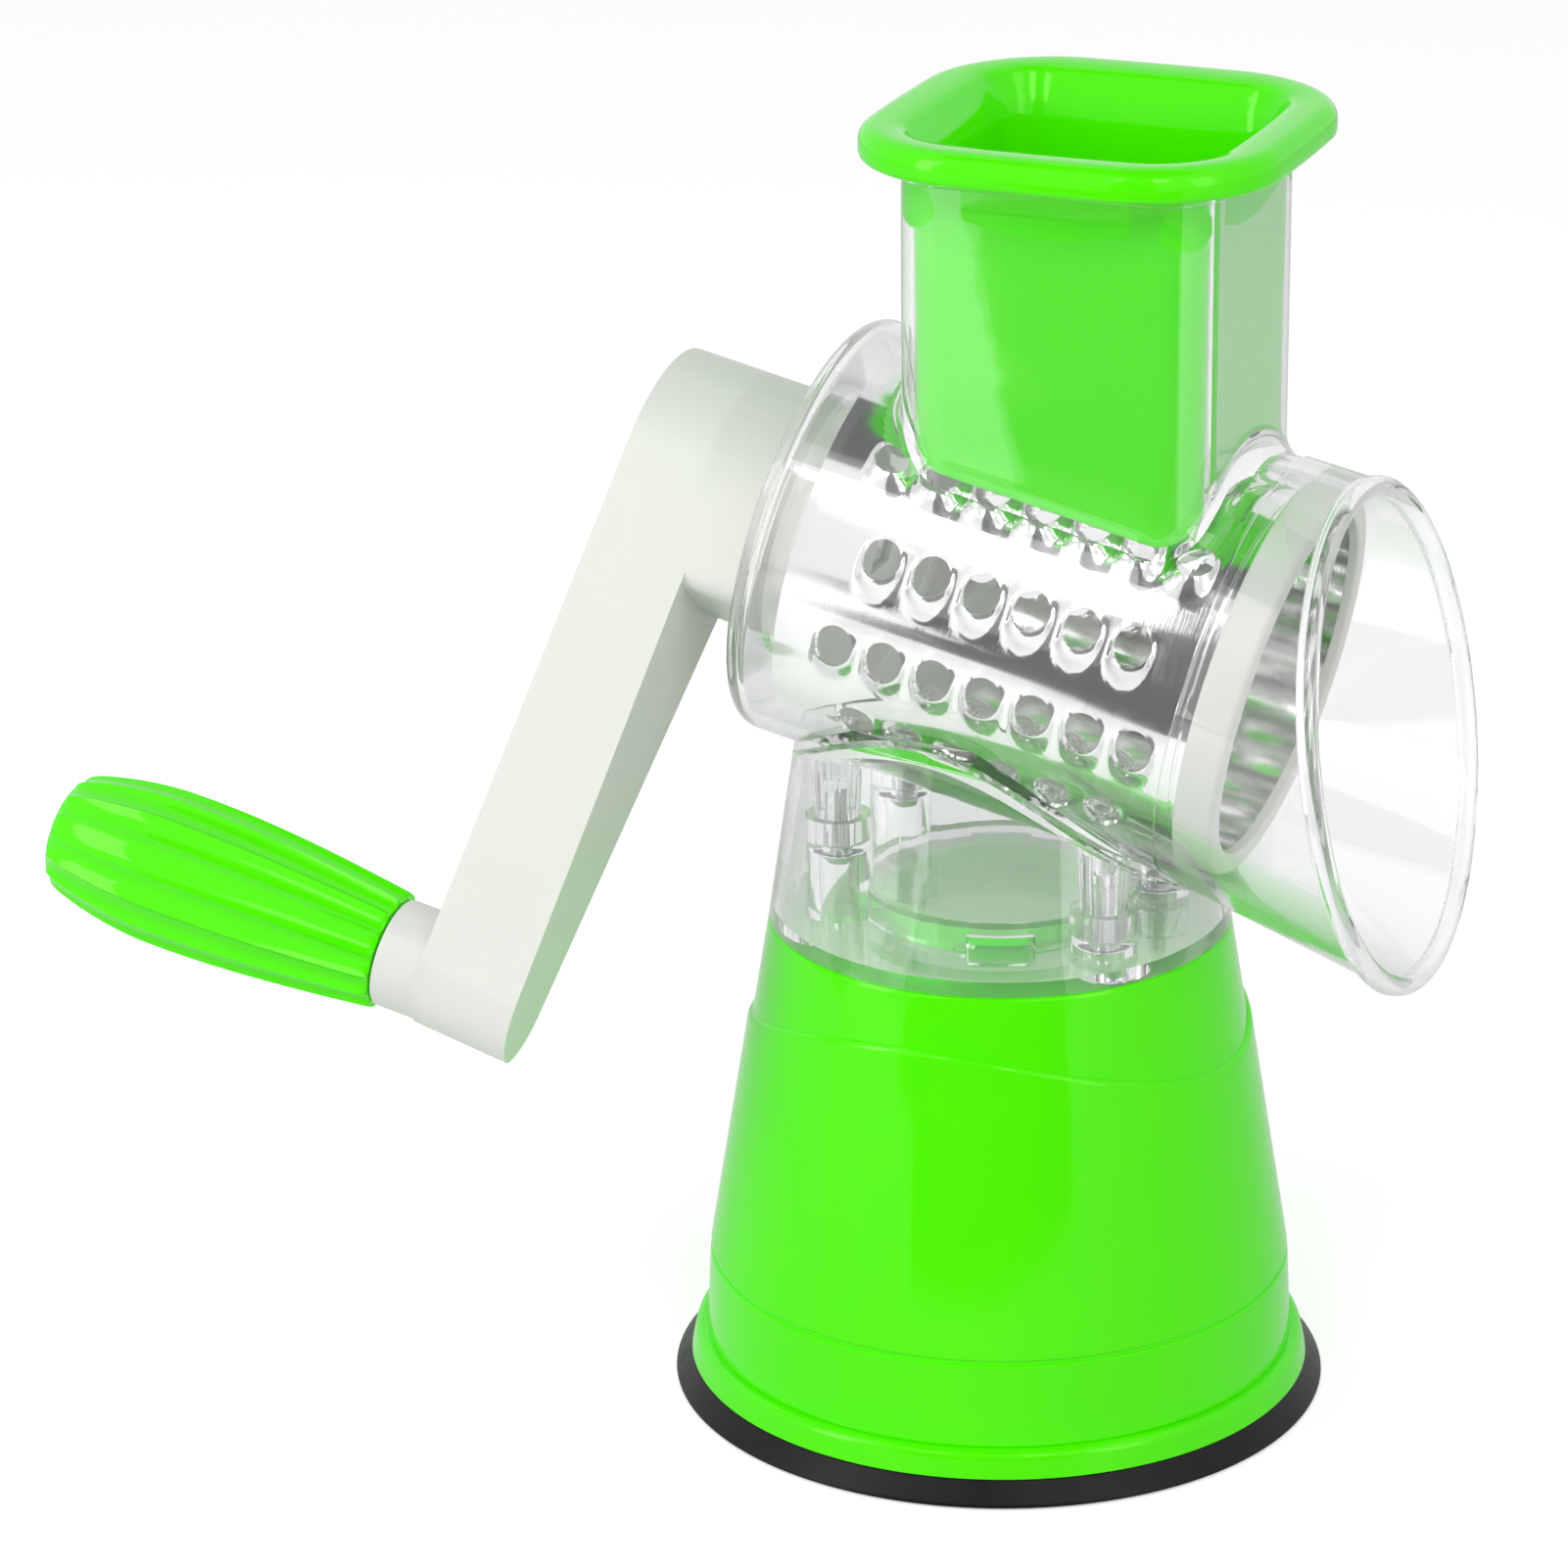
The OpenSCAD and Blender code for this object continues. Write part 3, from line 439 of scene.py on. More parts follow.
def finish_of(key):
    """The material of that key, made once."""
    hue = bpy.context.scene.grater_colours
    if key not in FINISHES:
        FINISHES[key] = {
            # Gloss ABS in bright lime: sharp lamp streaks over an even colour
            "green": lambda: moulded("Gloss ABS lime green", hue.green, hue.green_flow, 0.09,
                                     ripple=0.006, ripple_mm=2, level=0.34),
            # Satin ABS, a little see-through, so the white is soft and slightly green
            "white": lambda: moulded("Satin ABS soft white", hue.white, hue.white_flow, 0.34,
                                     ripple=0.03, ripple_mm=0.9, level=0.5, glow=0.08),
            # Clear polystyrene mouldings, cool grey where they are seen edge on
            "clear": lambda: clear_styrene("Clear polystyrene", hue.clear, hue.clear_edge),
            # Bright rolled stainless sheet: nearly a mirror, with lines round the drum. The real ones are
            # too fine to show, so these are drawn coarser
            "sheet": lambda: sheet_steel("Bright rolled stainless sheet", hue.sheet, 0.10, line_mm=0.35,
                                         along=(1, 0.03, 0.03), strength=0.12),
            # Zinc-plated screws and turned shaft: a soft grey sheen, and marks coarse enough to show
            "steel": lambda: sheet_steel("Zinc-plated steel", hue.steel, 0.24, line_mm=0.4,
                                         along=(1, 1, 1), strength=0.08),
            # Moulded rubber cup: dull black, with a grain drawn coarse enough to show
            "rubber": lambda: moulded_rubber("Moulded black rubber", hue.rubber, hue.rubber_dust),
        }[key]()
    return FINISHES[key]


# Settings


def length(name, description, default, low, high):
    """A length setting, given in millimetres."""
    return bpy.props.FloatProperty(name=name, description=description, default=default * MM,
                                   min=low * MM, max=high * MM, unit="LENGTH", precision=5)


def colour(name, description, code):
    """A colour setting, given as sRGB hex."""
    return bpy.props.FloatVectorProperty(name=name, description=description, default=linear(code),
                                         size=4, min=0.0, max=1.0, subtype="COLOR")


class GraterSizes(bpy.types.PropertyGroup):
    """Sizes that a user would change; the solids under them set the rest."""

    tooth: length("Tooth height", "Height of a tooth over the drum's sheet", 1.6, 0.5, 1.8)
    wave: length("Wave line", "Highest point of the wave line on the base", 80.4, 70, 84)
    flutes: bpy.props.IntProperty(name="Flutes", description="Flutes around the grip", default=16,
                                  min=8, max=24)


class GraterColours(bpy.types.PropertyGroup):
    """Colours of the mouldings and the steel."""

    green: colour("Green", "Lime of the base, the pusher and the grip", "#4DF700")
    green_flow: colour("Green flow marks", "Paler lime of the moulding's flow marks", "#56FC00")
    white: colour("White", "White of the crank and of the drum's ends", "#E1E3DF")
    white_flow: colour("White flow marks", "Paler white of the moulding's flow marks", "#E6E8E4")
    clear: colour("Clear", "Tint of the clear housing", "#FBFBFC")
    clear_edge: colour("Clear edge", "Grey of the clear housing seen edge on", "#7C7880")
    sheet: colour("Drum steel", "Colour of the drum's sheet", "#F7F7F6")
    steel: colour("Plated steel", "Colour of the screws and the shaft", "#C9CBCE")
    rubber: colour("Rubber", "Black of the suction cup", "#070707")
    rubber_dust: colour("Rubber dust", "Dusty black in the rubber's lows", "#131313")


class GraterLook(bpy.types.PropertyGroup):
    """How the stage is lit."""

    lamp: bpy.props.FloatProperty(
        name="Lamps", description="Power of the left lamp, which the other two follow", default=4.35,
        min=0.0, unit="POWER")
    sky: bpy.props.FloatProperty(
        name="Room light", description="Strength of the even room light", default=0.48, min=0.0)


# Pieces


class GRATER_OT_plain(bpy.types.Operator):
    """Finishes the pieces whose solid has the right shape"""

    bl_idname = "grater.plain"
    bl_label = "Screws, shaft and small parts"

    def execute(self, context):
        steel = ("foot_screws", "housing_screws", "drive_shaft", "crank_screw", "grip_washer", "grip_screw",
                 "lift_pin")
        for key, nodes in (("steel", steel), ("white", ("cup_stem", "drum_back_plate")),
                           ("green", ("grip_cap",))):
            for node in nodes:
                slots = NODES[node].data.materials
                slots.clear()
                slots.append(finish_of(key))
        return {"FINISHED"}


class GRATER_OT_housing(bpy.types.Operator):
    """Makes the two clear mouldings"""

    bl_idname = "grater.housing"
    bl_label = "Clear housing"

    def execute(self, context):
        fine, medium, coarse, around = 160, 120, 64, 144
        # The outlet's middle, and its lean against the upright
        outlet, lean = Vector((72.5, 0, 133.6)), math.radians(10)
        ahead = Vector((math.cos(lean), 0, math.sin(lean)))
        below = Vector((math.sin(lean), 0, -math.cos(lean)))
        # Each screw post: its place, its rim, and the tube's underside over it
        post_x, post_y = 25, 15.5
        posts = [(side * post_x, y, *((100.4, 110.94) if side > 0 else (111.7, 122.21)))
                 for side in (-1, 1) for y in (-post_y, post_y)]
        foot, narrowing = 90.7, 0.14869
        mouth, rings = 45.5, 10

        def neck(z):
            """The clear cone's outer radius at that height."""
            return SEAM_R - narrowing * (z - foot)

        def at_outlet(r, a, h):
            return outlet + ahead * h + (below * math.cos(a) + SIDE * math.sin(a)) * r

        def funnel(r0, r1, past):
            """A closed cone from radius r0 at the tube's mouth to r1, that much past the outlet's middle."""
            def place(j, i):
                a = 2 * math.pi * (i % fine) / fine
                if j == 0:
                    return on_drum(0, 0, mouth)
                if j == rings:
                    return at_outlet(0, 0, past)
                return on_drum(r0, a, mouth).lerp(at_outlet(r1, a, past), (j - 1) / (rings - 2))
            return wrapped("funnel", rings, fine, place)

        def chute(rows):
            """rows hold half width, corner, height, and 1 where the height counts from the tube's surface."""
            def place(j, i):
                half, corner, z, from_tube = rows[j]
                x, y = squarish(half, corner, 0, (i % around) / around)
                x += CHUTE_X
                if from_tube:
                    z += over_drum(TUBE_R, x, y)
                return Vector((x, y, z))
            return wrapped("chute", len(rows) - 1, around, place)

        rear, front, round_end = -37.2, 47.2, 3.6
        body = lathed("clear_upper_housing", rounded([
            (0, rear, 0), (TUBE_R, rear, round_end), (TUBE_R, front, 0), (0, front, 0)], 8), fine, on_drum)
        cut(body, funnel(39.0, 44.7, 0), "UNION")

        half, corner, brim = 28.5, 9.5, 234.5
        rows = [(0, 0, brim, 0), (28.6, 9.6, brim, 0), (29.1, 10.1, 234.35, 0), (29.3, 10.3, 234.0, 0),
                (29.3, 10.3, 232.9, 0), (29.1, 10.1, 232.6, 0), (half, corner, 232.3, 0)]
        rows += [(half, corner, z, 0) for z in (222, 212, 203)]
        # The fillet where the chute meets the tube sinks a little into the tube at its end
        fillet, sunk = 4.5, 0.35
        for step in range(11):
            a = math.radians(9 * step)
            out = fillet * (1 - math.cos(a))
            rows.append((half + out, corner + out,
                         fillet * (1 - math.sin(a)) - sunk * (a / math.pi * 2) ** 2, 1))
        rows += [(20, 4, 166, 0), (0, 0, 166, 0)]
        cut(body, chute(rows), "UNION")

        # The clear cone's wall goes up over the tube's sides as a band on the tube
        low, high, wall = 92.7, 134, 2.5
        band = lathed("band", [(37.5, -38.2), (39.9, -38.2), (39.9, 51), (37.5, 51)], fine, on_drum)
        cone = lathed("cone", [(neck(low), low), (neck(high), high), (neck(high) - wall, high),
                               (neck(low) - wall, low)], fine)
        cut(band, cone, "INTERSECT")
        cut(body, band, "UNION")

        # The hanging bosses taper and have fine ribs
        ribs, rib_rise, ribbed_from = 12, 0.22, 3.9
        for x, y, rim, under in posts:
            boss = lathed("boss", [(0, rim - 5), (3.8, rim - 5), (4, rim - 4.7), (4, rim), (4.6, under + 2.2),
                                   (0, under + 2.2)], coarse, upright(x, y),
                          lambda r, a, h: r + (rib_rise * math.cos(ribs * a) if r > ribbed_from else 0))
            cut(body, boss, "UNION")

        cut(body, lathed("hollow", rounded([
            (0, -35, 0), (TUBE_IN, -35, 2.4), (TUBE_IN, 46.5, 0), (0, 46.5, 0)], 6), fine, on_drum))
        cut(body, funnel(36.7, 42.8, 1.0))
        cut(body, chute([
            (0, 0, 240, 0), (27.2, 8.2, 240, 0), (27.2, 8.2, 234.7, 0), (26.7, 7.7, 234.2, 0),
            (26.4, 7.4, 233.6, 0), (26.4, 7.4, 200, 0), (26.4, 7.4, DRUM_Z, 0), (0, 0, DRUM_Z, 0)]))
        hub_hole, bore = 22.45, 1.55
        cut(body, lathed("hub hole", [(0, -39), (hub_hole, -39), (hub_hole, 1), (0, 1)], medium, on_drum))
        for x, y, rim, under in posts:
            cut(body, lathed("bore", [(0, rim - 6), (bore, rim - 6), (bore, rim + 7), (0, rim + 7)], 24,
                             upright(x, y)))
        cut(body, lathed("collar", rounded([
            (hub_hole, -36.2, 0), (25.2, -36.2, 0), (25.2, -31.5, 0.5), (hub_hole, -31.5, 0.5)], 3),
            medium, on_drum), "UNION")
        cut(body, lathed("bead", rounded([
            (41.7, -1.7, 0.8), (45.5, -1.7, 0.8), (45.5, 1.7, 1.6), (41.7, 1.7, 1.6)], 5),
            fine, at_outlet), "UNION")
        body = smoothed(closed_up(body, 0.002), 28)
        piece(body, "housing", "clear_plastic", finish_of("clear"), "upper_housing")

        lower = copy_of("lower_housing", "clear_lower_housing", bevel=0)
        piece(smoothed(lower, 28), "housing", "clear_plastic", finish_of("clear"), "lower_housing")
        return {"FINISHED"}


class GRATER_OT_drum(bpy.types.Operator):
    """Makes the steel drum with its hooded teeth, and the white ring at its mouth"""

    bl_idname = "grater.drum"
    bl_label = "Drum and front ring"

    def execute(self, context):
        radius, sheet, back, mouth = 33.3, 0.6, -29.0, 53.4
        rows, first_row, pitch, steps = 12, -79, 9.4, 12
        hole, rise = 3.5, context.scene.grater_sizes.tooth / MM
        # How far a tooth slopes down beside its hole, and how much further below it
        beside, tongue = 0.8, 3.6
        tall = 2 * math.pi * radius / rows
        fine = pitch / steps
        # Shares of the way from the hole's edge to the border of its cell
        rings = (0, 0.05, 0.12, 0.21, 0.32, 0.46, 0.63, 0.81, 1)

        def edge(k):
            """Point k of the cell's border, from its lower right corner round by the top."""
            side, at = divmod(k, steps)
            along = at / steps - 0.5
            return ((pitch / 2, along * tall), (-along * pitch, tall / 2),
                    (-pitch / 2, -along * tall), (along * pitch, -tall / 2))[side]

        def hood(x, y):
            """Height of the tooth: a tongue below the hole whose cutting edge stands proud."""
            far = math.hypot(x, y)
            facing = -y / far
            lip = rise * ((1 + facing) / 2) ** 1.5
            length = beside + tongue * max(0.0, facing) ** 2.2
            share = max(0.0, 1 - (far - hole) / length)
            return lip * (share * share * (3 - 2 * share) * 0.5 + share * 0.5)

        def cell(j, i):
            i %= 4 * steps
            edge_x, edge_y = edge(i)
            turn = 2 * math.pi * (i + 0.5) / (4 * steps) - math.pi / 4
            hole_x, hole_y = hole * math.cos(turn), hole * math.sin(turn)
            x, y = hole_x + (edge_x - hole_x) * rings[j], hole_y + (edge_y - hole_y) * rings[j]
            return Vector((x, y, hood(x, y)))

        first = wrapped("steel_drum", len(rings) - 1, 4 * steps, cell, near=0.0001)
        flat = [v.co / MM for v in first.data.vertices]
        parts = []
        for row in range(rows):
            middle = math.radians(first_row + 360 / rows * row)
            start, count = (-17.6, 7) if row % 2 == 0 else (-12.9, 6)
            for n in range(count):
                part = first.copy()
                part.data = first.data.copy()
                context.scene.collection.objects.link(part)
                for v, c in zip(part.data.vertices, flat):
                    v.co = on_drum(radius + c.z, middle - c.y / radius, start + n * pitch + c.x) * MM
                parts.append(part)
            # Plain sheet before the row's first cell and after its last one
            for s0, s1 in ((back, start - pitch / 2), (start + (count - 0.5) * pitch, mouth)):
                n = max(1, int((s1 - s0) / fine + 0.001))
                if s0 == back:
                    stops = [s0] + [s1 - fine * (n - k) for k in range(n + 1)]
                else:
                    stops = [s0 + fine * k for k in range(n + 1)] + [s1]
                parts.append(wrapped(
                    "strip", len(stops) - 1, steps,
                    lambda j, i: on_drum(radius, middle + (i / steps - 0.5) * tall / radius, stops[j]),
                    near=0.0001))
        bpy.data.objects.remove(first)
        drum = joined(parts[0], parts[1:])
        drum.name = "steel_drum"
        closed_up(drum, 0.006)
        modified(drum, "SOLIDIFY", thickness=sheet * MM, offset=-1)
        piece(smoothed(drum, 42, False), "crank", "bright_sheet_steel", finish_of("sheet"), "drum")

        ring = lathed("white_front_ring", rounded([
            (33.4, 48.3, 0.3), (35.8, 48.3, 0.8), (35.8, 55.6, 1.3), (31.6, 55.6, 0.6), (31.6, 53.5, 0.3),
            (33.4, 53.5, 0)], 4), at=on_drum)
        piece(smoothed(ring), "crank", "white_plastic", finish_of("white"), "drum_front_ring")
        return {"FINISHED"}


class GRATER_OT_pusher(bpy.types.Operator):
    """Makes the pusher: a deep cup with a rolled rim and a saddle for a bottom"""

    bl_idname = "grater.pusher"
    bl_label = "Pusher"

    def execute(self, context):
        # The cylinders about the drum's axis that the saddle follows outside and inside
        saddle, floor = 36.15, 38.3
        around = 192
        # Half width, corner, bulge of the sides, height, and the cylinder that the height counts from
        rows = [(t * 22.5, t * 5, 0, 0, saddle) for t in (0, 0.2, 0.4, 0.6, 0.8, 1)]
        rows += [(23.2 + 2.8 * math.sin(a), 5 + 2 * math.sin(a), 0, 2.8 * (1 - math.cos(a)), saddle)
                 for a in (math.radians(18 * k) for k in range(6))]
        rows += [(26 + 0.1 * k, 7, 0.05 * k, 206 + 7 * k, 0) for k in range(4)]
        rows += [(26.3, 7.2, 0.15, 234.3, 0), (26.8, 7.6, 0.2, 234.9, 0), (34.4, 19, 1.2, 234.9, 0)]
        # The rolled rim, from its lower edge over its top
        rows += [(35.2 + 1.2 * math.sin(a), 20.8 + math.sin(a), 1.3, 236.1 - 1.2 * math.cos(a), 0)
                 for a in (math.radians(30 * k) for k in range(4))]
        rows += [(33.4 + 3.0 * math.cos(a), 19.2 + 2.6 * math.cos(a), 1.3, 237.8 + 3.0 * math.sin(a), 0)
                 for a in (math.radians(15 * k) for k in range(7))]
        rows += [(30.6, 15.2, 1.3, 240.62, 0), (28.4, 11.2, 1.3, 240.3, 0), (27.7, 9.8, 1.3, 239.95, 0),
                 (27.3, 9.2, 1.25, 239.4, 0), (26.7, 8.5, 1.1, 238, 0), (25.9, 8, 0.7, 236.3, 0),
                 (25.1, 7.3, 0.2, 234.4, 0), (24.6, 6.8, 0.1, 231.5, 0), (24.3, 6.2, 0, 227, 0),
                 (24.1, 5.6, 0, 219, 0), (24, 5, 0, 206, 0)]
        rows += [(22 + 2 * math.cos(a), 3.4 + 1.6 * math.cos(a), 0, 2.2 - 2 * math.sin(a), floor)
                 for a in (math.radians(22.5 * k) for k in range(5))]
        rows += [(t * 21.5, t * 3.3, 0, 0.2, floor) for t in (1, 0.8, 0.6, 0.4, 0.2, 0)]

        def place(j, i):
            half, corner, bulge, z, base = rows[j]
            x, y = squarish(half, corner, bulge, i / around)
            x += CHUTE_X
            return Vector((x, y, z + over_drum(base, x, y) if base else z))

        cup = wrapped("green_pusher", len(rows) - 1, around, place)
        piece(smoothed(cup, 50, False), "pusher", "green_plastic", finish_of("green"), "pusher")
        return {"FINISHED"}


class GRATER_OT_crank(bpy.types.Operator):
    """Makes the crank arm with its boss, and the fluted grip"""

    bl_idname = "grater.crank"
    bl_label = "Crank and grip"

    def execute(self, context):
        # Radii of the hub and of the arm's end, the arm's edge beside the hub, and both faces along s
        hub, end, beside, outer, inner = 22.4, 10.3, 9.7, -67.5, -48.8
        lean = math.acos((hub - end) / CRANK_LEN)
        begin = math.asin(beside / hub)
        outline = [(CRANK_LEN + end * math.cos(a), end * math.sin(a)) for a in
                   (math.pi / 2 - (math.pi / 2 + lean) * k / 24 for k in range(25))]
        outline += [(hub * math.cos(a), hub * math.sin(a)) for a in
                    (-lean - (2 * math.pi - lean - begin) * k / 72 for k in range(73))]
        # The draft starts this far out, and takes these shares off the arm's far and near halves
        draft_from, draft_over, far_share, near_share = 55, 55, 0.42, 0.28

        def drafted(x, y, s):
            """The arm's end narrows towards the drum."""
            share = max(0.0, (x - draft_from) / draft_over) ** 1.3 * (s - outer) / (inner - outer)
            return on_crank(x + 1.2 * share, y * (1 - (far_share if y > 0 else near_share) * share), s)

        def about_hub(r, a, h):
            return on_crank(r * math.cos(a), r * math.sin(a), h)

        arm = prism("white_crank", outline, outer, inner, drafted)
        # The boss is flat below, between the arm's edges
        corner = [(hub * math.cos(a), hub * math.sin(a), 0) for a in
                  (begin + (2 * math.pi - begin - lean) * k / 72 for k in range(73))]
        corner += [(24.4, -19.5, 4), (23.2, -4, 2)]
        cut(arm, prism("flat boss", rounded(corner), inner - 6, -38.6, on_crank), "UNION")
        screw_hole = 5.5
        cut(arm, lathed("recess", [(0, outer - 2), (screw_hole, outer - 2), (screw_hole, outer + 4),
                                   (0, outer + 4)], 64, about_hub))
        modified(arm, "BEVEL", width=1.2 * MM, segments=4, limit_method="ANGLE",
                 angle_limit=math.radians(40), use_clamp_overlap=True)
        boss = lathed("boss", rounded([
            (5.05, -60, 0), (5.05, -31, 0.3), (7.6, -31, 0.3), (7.6, -45.8, 0.5), (19.5, -45.8, 0.5),
            (19.5, -31, 0.4), (hub, -31, 0.6), (hub, -52, 0), (18, -60, 0)], 3), 144, about_hub)
        neck = lathed("neck", rounded([
            (0, 66.4, 0), (9.9, 66.4, 0), (9.9, 76.0, 0.5), (5, 76.0, 0), (5, 134.6, 0.4), (0, 134.6, 0)],
            3), 96, on_grip)
        joined(arm, [boss, neck])
        piece(smoothed(arm), "crank", "white_plastic", finish_of("white"), "crank_arm")

        # Both ends of the grip, its bore, and the share of its length where it is thickest
        near, tip, bore, thickest = 76.4, 141.9, 5.05, 0.66
        flutes, flute_depth = context.scene.grater_sizes.flutes, 1.1

        def swell(share):
            """The grip's radius at that share of its length."""
            if share < thickest:
                return 10.9 + 3.4 * math.sin(math.pi / 2 * share / thickest)
            return 14.3 - 3.9 * ((share - thickest) / (1 - thickest)) ** 1.9

        side = [(swell(k / 40), near + (tip - near) * k / 40) for k in range(1, 39)]
        outline = [(bore, near), (9.6, near), (10.3, near + 0.1), (10.75, near + 0.5)] + side
        outline += [(10.75, tip - 1.6), (10.3, tip - 0.9), (9.7, tip - 0.4), (9.0, tip - 0.1), (8.4, tip),
                    (8.0, tip), (8.0, tip - 7.3), (bore, tip - 7.3)]

        def fluted(r, turn, h):
            """The radius with the flutes cut in, which fade at both ends."""
            if r < 9.65 or h < near + 0.05:
                return r
            share = (h - near) / (tip - near)
            phase = abs((turn * flutes / (2 * math.pi)) % 1 * 2 - 1)
            fade = 1 - 0.45 * max(0.0, share - thickest) / (1 - thickest)
            return r - flute_depth * min(1.0, share * 40 + 0.5) * fade * (1 - phase ** 2.4)

        grip = lathed("green_grip", outline, flutes * 16, on_grip, fluted)
        piece(smoothed(grip, 24, False), "grip", "green_plastic", finish_of("green"), "grip")
        return {"FINISHED"}


class GRATER_OT_base(bpy.types.Operator):
    """Makes the green cone with its wavy skin, and finishes the foot ring, the cup and the lever"""

    bl_idname = "grater.base"
    bl_label = "Base"

    def execute(self, context):
        turns, lowest = 216, 25.3
        slope = (52.5 - SEAM_R) / (SEAM_Z - lowest)
        # The proud skin's radius at the seam's height and at its lower end
        skin_top, skin_foot = 42.7, 53.3
        # The wave line is where a lying cylinder of radius bend would cut an upright one of radius mid
        drop, high, mid = 11.2, context.scene.grater_sizes.wave / MM, 44.4
        bend = (mid * mid + drop * drop) / (2 * drop)
        turned = math.radians(92)

        def wave(a):
            """The wave line's height at that angle."""
            return high - bend + math.sqrt(bend ** 2 - (mid * math.sin(a + turned)) ** 2)

        def upper(z):
            """The plain skin's radius, above the wave line."""
            return SEAM_R + (SEAM_Z - z) * slope

        def lower(z):
            """The proud skin's radius, below the wave line."""
            return skin_top + (SEAM_Z - z) * (skin_foot - skin_top) / (SEAM_Z - lowest)

        # Radius and height, from the middle of the inside down to the foot and up to the cone
        profile = [(0, 88), (37, 88), (39.8, 88), (50.9, 25.3), (51.6, 9.1), (53.7, 9.1),
                   (53.95, 9.2), (54.0, 9.45), (53.86, 13), (53.6, 19), (53.33, 24.2), (53.28, 24.55),
                   (53.1, 24.75), (52.8, 24.85), (52.8, 25.45), (53.0, 25.6), (53.15, 25.75), (53.2, 26.0)]
        # The rows above it up to the wave line, over its rounded step, to the brim and to the middle
        skin, step, plain, brim, last = 14, 22, 28, 31, 34
        skin_from, step_height = 27, 1.0

        def place(j, i):
            a = 2 * math.pi * (i % turns) / turns
            k = j - len(profile)
            line = wave(a)
            if k < 0:
                r, z = profile[j]
            elif k < skin:
                z = skin_from + (line - step_height - skin_from) * k / (skin - 1)
                r = lower(z)
            elif k < step:
                # The proud skin ends in a rounded step
                t = (k - skin + 1) / (step - skin) * math.pi / 2
                z = line - step_height + step_height * math.sin(t)
                r = lower(z) + (upper(z) - lower(z)) * (1 - math.cos(t))
            elif k < plain:
                z = line + 0.15 + (SEAM_Z - 0.8 - line - 0.15) * (k - step) / (plain - step - 1)
                r = upper(z)
            elif k < brim:
                r = SEAM_R - (0.0, 0.15, 0.5)[k - plain]
                z = SEAM_Z - (0.45, 0.15, 0.0)[k - plain]
            else:
                r, z = (24, 18, 0)[k - brim], SEAM_Z
            return Vector((r * math.cos(a), r * math.sin(a), z))

        shell = wrapped("green_base", len(profile) + last - 1, turns, place)
        # The slot in which the lever's arm swings
        cut(shell, prism("slot", sector(44, 58, 101.5, 77, 30), 13.4, 18.6))
        spigot = lathed("spigot", rounded([
            (18.4, 89.9, 0), (20.6, 89.9, 0), (20.6, 95.2, 0.3), (18.4, 95.2, 0.3)], 3), 120)
        # The four lugs of the twist lock
        lugs = [modified(prism("lug", sector(20, 23.6, -83 + 90 * n, 26, 12), 93.0, 95.2), "BEVEL",
                         width=0.3 * MM, segments=2, limit_method="ANGLE", angle_limit=math.radians(50))
                for n in range(4)]
        joined(shell, [spigot, *lugs])
        piece(smoothed(shell), "base", "green_plastic", finish_of("green"), "base_shell")

        for node, name, body, slot, key, bevel in (
                ("foot_ring", "green_foot_ring", "base", "green_plastic", "green", 0.25),
                ("suction_cup", "rubber_cup", "base", "black_rubber", "rubber", 0.3),
                ("suction_lever", "green_lever", "lever", "green_plastic", "green", 0.6)):
            obj = copy_of(node, name, bevel, 32)
            piece(smoothed(obj), body, slot, finish_of(key), node)
        return {"FINISHED"}


